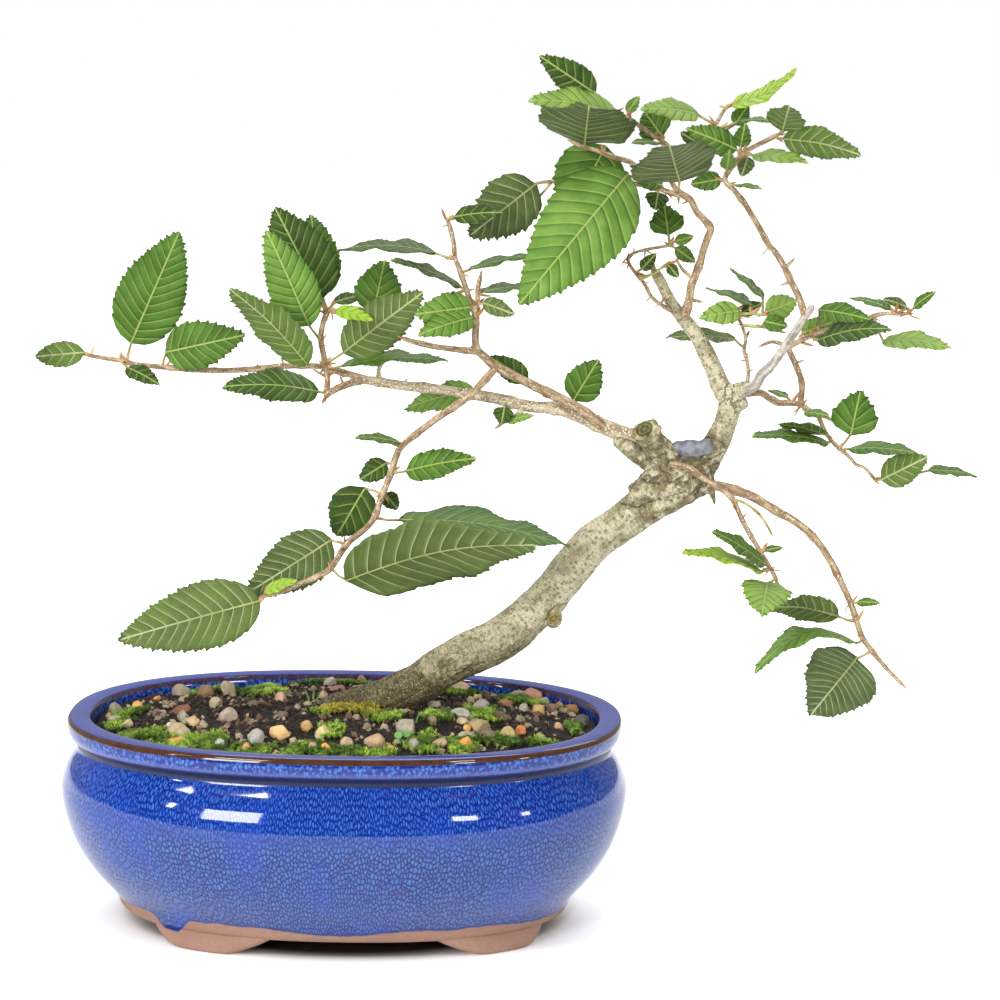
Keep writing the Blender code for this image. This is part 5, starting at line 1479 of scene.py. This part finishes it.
leafy("spray_far_left", (
    ((8, 186, 1.6, 2.4), (2, 187.8, 4, 2.3), (-4, 189.3, 7, 2.2), (-9, 190.5, 9, 2), (-20, 190.5, 11, 2),
     (-30, 189.5, 12, 2), (-40, 189, 12, 1.9), (-50, 189.2, 11, 1.9), (-60, 190, 10, 1.8),
     (-70, 191, 8, 1.7), (-75, 192.3, 7, 1.6), (-80, 193, 6, 1.5), (-86, 194, 5, 1.3)),
), (
    ((-85, 193.9, 5), (-87, 195, 4), (-104, 193.5, -4), 9, -1, 5),
    ((-73, 191.8, 7.4), (-71.5, 198, 9), (-54.5, 235.5, 16), 24, 1, 3),
    ((-61, 190.2, 9.8), (-60, 195, 9), (-33, 201, 4), 17, 1, 2),
    ((-75, 192.2, 7), (-73, 190, 4), (-62, 184, -4), 6, 1),
), "mmmd")


# Left half of the crown, with the largest leaf.

leafy("spray_crown_left", (
    ((114.2, 206, 5.5, 3), (115, 210.5, 3, 2.9), (115.7, 214, 2, 2.8), (116.3, 218, 1, 2.7),
     (117.5, 221, 0, 2.6), (119, 225, 0, 2.6), (120, 229, 0, 2.5), (121.3, 233, 0, 2.5),
     (122.5, 236.5, 0, 2.4), (121, 239, 0, 2.4), (118, 242, 0, 2.3), (115.5, 246.5, 0, 2.2),
     (112.6, 248.2, 0, 2.1)),
    ((113.4, 247.6, 0, 2), (108, 249, -2, 1.9), (104, 250.5, -4, 1.8), (100, 251, -6, 1.7),
     (98.5, 255, -7, 1.7), (96, 258.5, -8, 1.7), (90, 260.3, -9, 1.6), (85, 262.3, -9, 1.5),
     (80.5, 263.5, -9, 1.5), (76, 265.5, -8, 1.2)),
    ((113.2, 248, 0, 1.9), (110, 251, 1.5, 1.8), (108.5, 256, 3, 1.7), (109, 261, 4, 1.6),
     (108, 264, 4, 1.6), (104, 267, 3, 1.5), (100, 269.5, 2, 1.5), (96, 272.5, 1, 1.4), (92, 274.5, 0, 1.4),
     (88, 277.5, 0, 1.3), (84.5, 280, 0, 1.1)),
    ((101, 251, -5.5, 1.7), (90, 252.5, -2, 1.6), (80, 253, 0, 1.5), (72, 252.5, 0, 1.4), (66, 252, 0, 1.2)),
    ((116.1, 213, 2, 1.5), (119.4, 212.4, 1, 1)),
    ((116.9, 219.8, 0.5, 1.4), (113, 223.5, -1, 1), (111.5, 226, -1, 0.9)),
), (
    ((100, 251.3, -6), (95, 255, -13), (59, 211.5, -30), 30, 1, 3),
    ((66.5, 252, 0), (64.5, 251.5, -1), (42, 234, -8), 20, -1, 2),
    ((70, 252.4, 0), (66, 247.5, 3), (55, 240, 7), 9, -1),
    ((84.8, 279.8, 0), (84, 281.2, 0), (65.5, 293.5, -4), 11, 1),
    ((91, 275.2, 0), (91, 274.5, -4), (62, 279, -14), 10, 1, 2),
    ((80.5, 263.5, -9), (80.5, 264.5, -13), (82, 277, -62), 32, -1, 3),
    ((87, 261.5, -9), (87.5, 264, -7), (74, 238, -6), 24, 1, 2),
    ((95, 273, 0.8), (94.5, 275, 1), (98.5, 280.3, 4), 4, 1),
    ((106, 265.5, 3.6), (106.3, 267, 6), (100, 275.5, 13), 12, 1),
    ((106.5, 265, 3.6), (105, 265, 0), (96, 265, -8), 2, 1),
    ((111.5, 248.6, -0.5), (112, 252.3, -10), (108.5, 264.5, -55), 29, -1, 2),
    ((107, 249.3, -2.4), (106.5, 251, -4), (96, 254.5, -9), 6, 1),
    ((105, 250, -3.5), (105, 248.8, -5), (104, 243, -11), 8, 1),
), "ldgdbdmlmmdmd")


# Right half of the crown, with a lime-green young leaf at its top.

leafy("spray_crown_right", (
    ((154.3, 207.5, -9, 2.5), (152, 214, -8, 2.3), (149.5, 219, -7, 2.2), (147, 224, -6, 2.1),
     (144, 229, -5, 2.1), (142, 231, -5, 2), (138, 238, -4, 2), (134, 244.5, -3, 1.9), (132, 247, -2, 1.9),
     (130, 249.5, -1, 1.8), (127, 253, 0, 1.8), (130, 258, 0, 1.6), (133, 261.5, 0, 1.5),
     (136, 263.5, 0, 1.5), (140, 265.5, 0, 1.4), (145, 268, 0, 1.2)),
    ((130, 257.8, 0, 1.5), (127.5, 264, 3, 1.3), (125, 268, 4, 1.3), (124, 271, 4, 1.2),
     (127, 276.5, 3, 1.1)),
    ((147.2, 223.5, -6, 1.4), (150, 226.5, -7, 1)),
    ((149.3, 219.2, -7, 1.4), (146.8, 218.2, -8, 1)),
), (
    ((126.8, 276.2, 3), (128.5, 277.5, 3), (150, 289.5, -3), 4.5, 1, -2.5),
    ((125, 268.3, 4), (130, 270.8, 5), (134.5, 277.5, 9), 6, 1),
    ((124.6, 269.5, 4), (131, 272.3, 2), (144, 272, -6), 1.5, 1),
    ((144.6, 267.8, 0), (145.8, 269, -3), (148, 277, -24), 13, -1),
    ((143, 267, 0), (146, 266.4, -2), (172, 261, -8), 10.5, -1, 2),
    ((133.4, 261.8, 0), (136, 261, -3), (154.5, 258.7, -13), 4.5, 1),
    ((133.4, 261.8, 0), (134.6, 260.5, 2), (132.5, 254, 8), 6, -1),
    ((132.6, 261.2, 0), (131, 262.8, -2), (114, 269.8, -8), 9, 1),
    ((131.8, 260, 0), (132, 263.5, -1), (133.5, 271.5, -6), 6, 1),
    ((126.2, 266, 3.5), (119.5, 264.2, 9), (112, 268.5, 14), 5, 1),
    ((127.6, 254, 0), (127.6, 256, -3), (128.5, 262.5, -9), 5, 1),
    ((127.8, 252.2, 0), (126, 253.2, 3), (115.5, 251.3, 7), 6.5, 1),
    ((128.4, 251.5, -0.5), (130.5, 251.2, -3), (139.5, 249.8, -9), 1.5, 1),
    ((123.8, 271, 4), (118, 274.5, 2), (99, 276.2, -9), 7, 1, 1),
), "ymmmmbgmmdlmmb")


# Short leafy tuft beside the cut end of the upper limb.

leafy("spray_tuft", (
    ((110.4, 209, 6, 1.6), (106, 211.5, 2, 1.3), (103, 214, 1, 1.2), (100.5, 218.5, 1, 1.2),
     (97.5, 222, 1, 1.1), (95.5, 225, 1, 1.1), (95, 227, 2, 1.1), (97, 228.5, 3, 1), (101, 229.7, 3.5, 1),
     (109.5, 231.2, 4, 1)),
    ((99.2, 220, 1, 1.1), (104, 222, -1, 1), (108, 225, -1, 1)),
), (
    ((109, 231, 4), (108.5, 234.5, 5), (107, 244.5, 9), 12, 1),
    ((108.5, 231, 4), (110.5, 232.4, 6), (117, 234.2, 9), 4, 1),
    ((109, 231, 4), (110.8, 230.4, 7), (117.5, 225.5, 12), 5, 1),
    ((97.6, 222, 1), (99.5, 223, -1), (104.5, 228.5, -5), 4.5, 1),
    ((107.6, 224.6, -1), (108.5, 224.6, -2), (112, 220.5, -5), 4, 1),
), "mlmdd", shed=(2, 3, 4))


# Thin twig and its small leaves in the middle of the right side.

leafy("spray_right_middle", (
    ((135.2, 184, 1, 1.5), (135.5, 189, 1.5, 1.2), (135, 193, 1.5, 1.2), (134, 196, 1.5, 1.2),
     (134.5, 200, 1.5, 1.1), (133, 205, 1, 1.1), (131, 208.2, 1, 1), (131, 210, 1, 1)),
    ((131.2, 208, 1, 1.1), (136, 208.5, -1, 1), (140.4, 208, -2, 1)),
    ((133.4, 204.4, 1, 1.1), (140, 204, 0, 1), (146.5, 202.4, -1, 1)),
), (
    ((135.8, 208.4, -1), (137, 211, 1), (121, 217, 6), 2, 1),
    ((131, 209.6, 1), (135.5, 212.8, 5), (124, 216.6, 12), 2, 1),
    ((140, 208, -2), (140.5, 213.5, 0), (129, 223.5, 6), 2.5, 1),
    ((132, 208.2, 0.6), (132.5, 209.5, -3), (119, 207, -13), 8, 1),
    ((134.2, 197, 1.5), (131, 200.3, 11), (108, 200.5, 23), 4.5, -1),
    ((140, 208, -2), (141, 208.8, -1), (151.5, 213, 4), 9, 1),
    ((131, 208.6, 1), (133, 208.8, 4), (140, 212, 10), 5, 1),
    ((140, 204.1, 0), (140.5, 206, -3), (148.5, 204.2, -1), 6, 1),
), "mmmbgbdm")


# Right twig that droops.

TWIG_RIGHT = (
    ((131, 181, 0.5, 3), (139, 182, 2, 2.4), (143, 180, 3, 2.3), (146, 178.5, 4, 2.2), (150, 178.5, 4, 2.1),
     (153, 178, 4, 2), (156, 176, 4, 1.9), (159, 174, 4, 1.7), (160.5, 171, 3, 1.6), (162, 168, 3, 1.5),
     (164, 165.5, 2, 1.5), (166.5, 163, 1, 1.4), (170, 160, 0, 1.3), (172, 157.8, -1, 1.2),
     (175, 156.5, -2, 1.1), (179, 152, -3, 1)),
    ((155, 176.6, 4, 1.3), (162, 173.5, 6, 1.1), (166, 171.8, 7, 1), (169.5, 171.5, 7, 1)),
)
leafy("spray_right_lower", TWIG_RIGHT, (
    ((150, 178.6, 4), (149, 180.4, 6), (142, 183, 11), 2, 1),
    ((153.4, 177.8, 4), (154.5, 175.4, 0), (163, 174, -7), 3, 1),
    ((166.4, 163.2, 1), (170, 167.5, 1), (173, 182.5, 3), 16, 1),
    ((162.6, 167.4, 3), (161.5, 168, 0), (145.5, 171.5, -7), 3.5, -1),
    ((164, 165.6, 2), (162.5, 165.2, -1), (137, 167.5, -12), 4, 1),
    ((167, 162.7, 1), (169.5, 163.2, -1), (193.5, 161.5, -11), 4.5, 1),
    ((178.6, 152.5, -3), (180.5, 152.6, -5), (196, 160.5, -12), 11, -1),
    ((178.4, 152.7, -3), (196, 156, 3), (212.8, 154, 6), 3, 1),
), "mmmmmmmm")


# Second right twig, which rises from the drooping one.

leafy("spray_right_upper", (
    ((153, 177.8, 4, 2.1), (153.5, 183, 5, 2), (153, 187, 4, 2), (151, 192, 3, 2), (149, 197, 1, 1.9),
     (152, 199, 1, 1.9), (156, 201, 1, 1.8), (160, 202.5, 1, 1.8), (165, 203.5, 0, 1.7), (170, 205, 0, 1.6),
     (175, 207, -1, 1.5), (180, 208.5, -2, 1.4), (184, 208.5, -2, 1.3), (189, 208.5, -2, 1.1)),
    ((149.6, 196.8, 1, 1.5), (146, 198.5, 2, 1.2), (143, 199, 3.5, 1.2), (139.5, 197.6, 5, 1)),
), (
    ((159, 202.2, 1), (158.5, 209.8, -1), (176, 206.5, -9), 7, 1),
    ((152.4, 199.2, 1), (153, 201.8, 4), (166, 206.5, 10), 7, 1),
    ((156, 201, 1), (158.5, 199.6, -3), (183, 203.5, -14), 8, 1, 2),
    ((177, 207.6, -1.5), (180, 199, -7), (203, 197, -16), 6, 1, 2),
    ((184, 208.5, -2), (183, 210, 0), (169, 214, 8), 2.5, 1),
    ((188.6, 208.5, -2), (188, 211, -1), (180, 213.5, 4), 3.5, -1),
    ((188.6, 208.5, -2), (190, 210.5, -3), (197.5, 216, -7), 3.5, 1),
), "mldbmgm")


# Long twig that falls to the lower right.

leafy("spray_lower_right", (
    ((118, 151.5, -2, 4), (128, 150, -5, 3.2), (133, 148.5, -7, 3.1), (138, 146.5, -9, 3),
     (143, 143.5, -10, 2.9), (147, 141, -11, 2.8), (150, 139.5, -12, 2.7), (155, 136, -13, 2.6),
     (158, 133, -14, 2.5), (161, 129.5, -15, 2.4), (164, 125, -15, 2.4), (166.5, 120, -16, 2.3),
     (169, 115, -16, 2.2), (171, 110.5, -17, 2.1), (173, 105, -17, 2), (175, 99, -18, 1.9),
     (179, 93.5, -18, 1.7), (184, 87.5, -18, 1.5), (189, 82.5, -18, 1.2)),
), (
    ((173, 104, -17), (167, 106, -19), (144, 109, -28), 9, -1, 2),
    ((171, 110.5, -17), (173, 110.8, -19), (181, 110.5, -23), 3, 1),
    ((175.6, 98, -18), (173.5, 96.8, -21), (139, 86.5, -33), 6, 1, 8),
    ((178.6, 94, -18), (173.5, 91.5, -16), (158, 71.5, 16), 26, -1, 2),
), "gmld")


# Thin twig hanging from the crotch.

leafy("spray_hanging", (
    ((107, 158, -5, 2.4), (115, 156.8, -9.4, 2.1), (120, 153.5, -10.6, 2.1), (124, 151, -11.4, 2),
     (128, 148.5, -12, 2), (131, 145.5, -13, 1.9), (134, 139, -14, 1.8), (137, 133.5, -15, 1.7),
     (141, 127, -16, 1.5), (144, 122, -17, 1.4), (146, 118, -18, 1.3)),
    ((130.8, 145.6, -13, 1.2), (135, 144.5, -15, 1), (140, 140.5, -16, 1), (143, 136, -17, 0.9),
     (144, 134, -17, 0.9)),
), (
    ((143.6, 122.6, -17), (142, 123.6, -19), (124, 135, -28), 5, 1),
    ((144, 122, -17), (141, 121.2, -20), (114, 127.7, -32), 4, 1, 2),
    ((142.6, 124.4, -16.5), (142, 124.2, -14), (135, 125.5, -8), 3, -1),
    ((140.6, 127.6, -16), (142, 128.4, -15), (148, 129.5, -12), 2.5, 1),
    ((145.6, 118.6, -18), (143, 117.5, -20), (141, 106, -48), 17, 1, 2),
), "mygmb")


# Clearing up: the shapes that were only strewn are removed.

for shape in (bud_shape, scale_shape):
    bpy.data.objects.remove(shape)
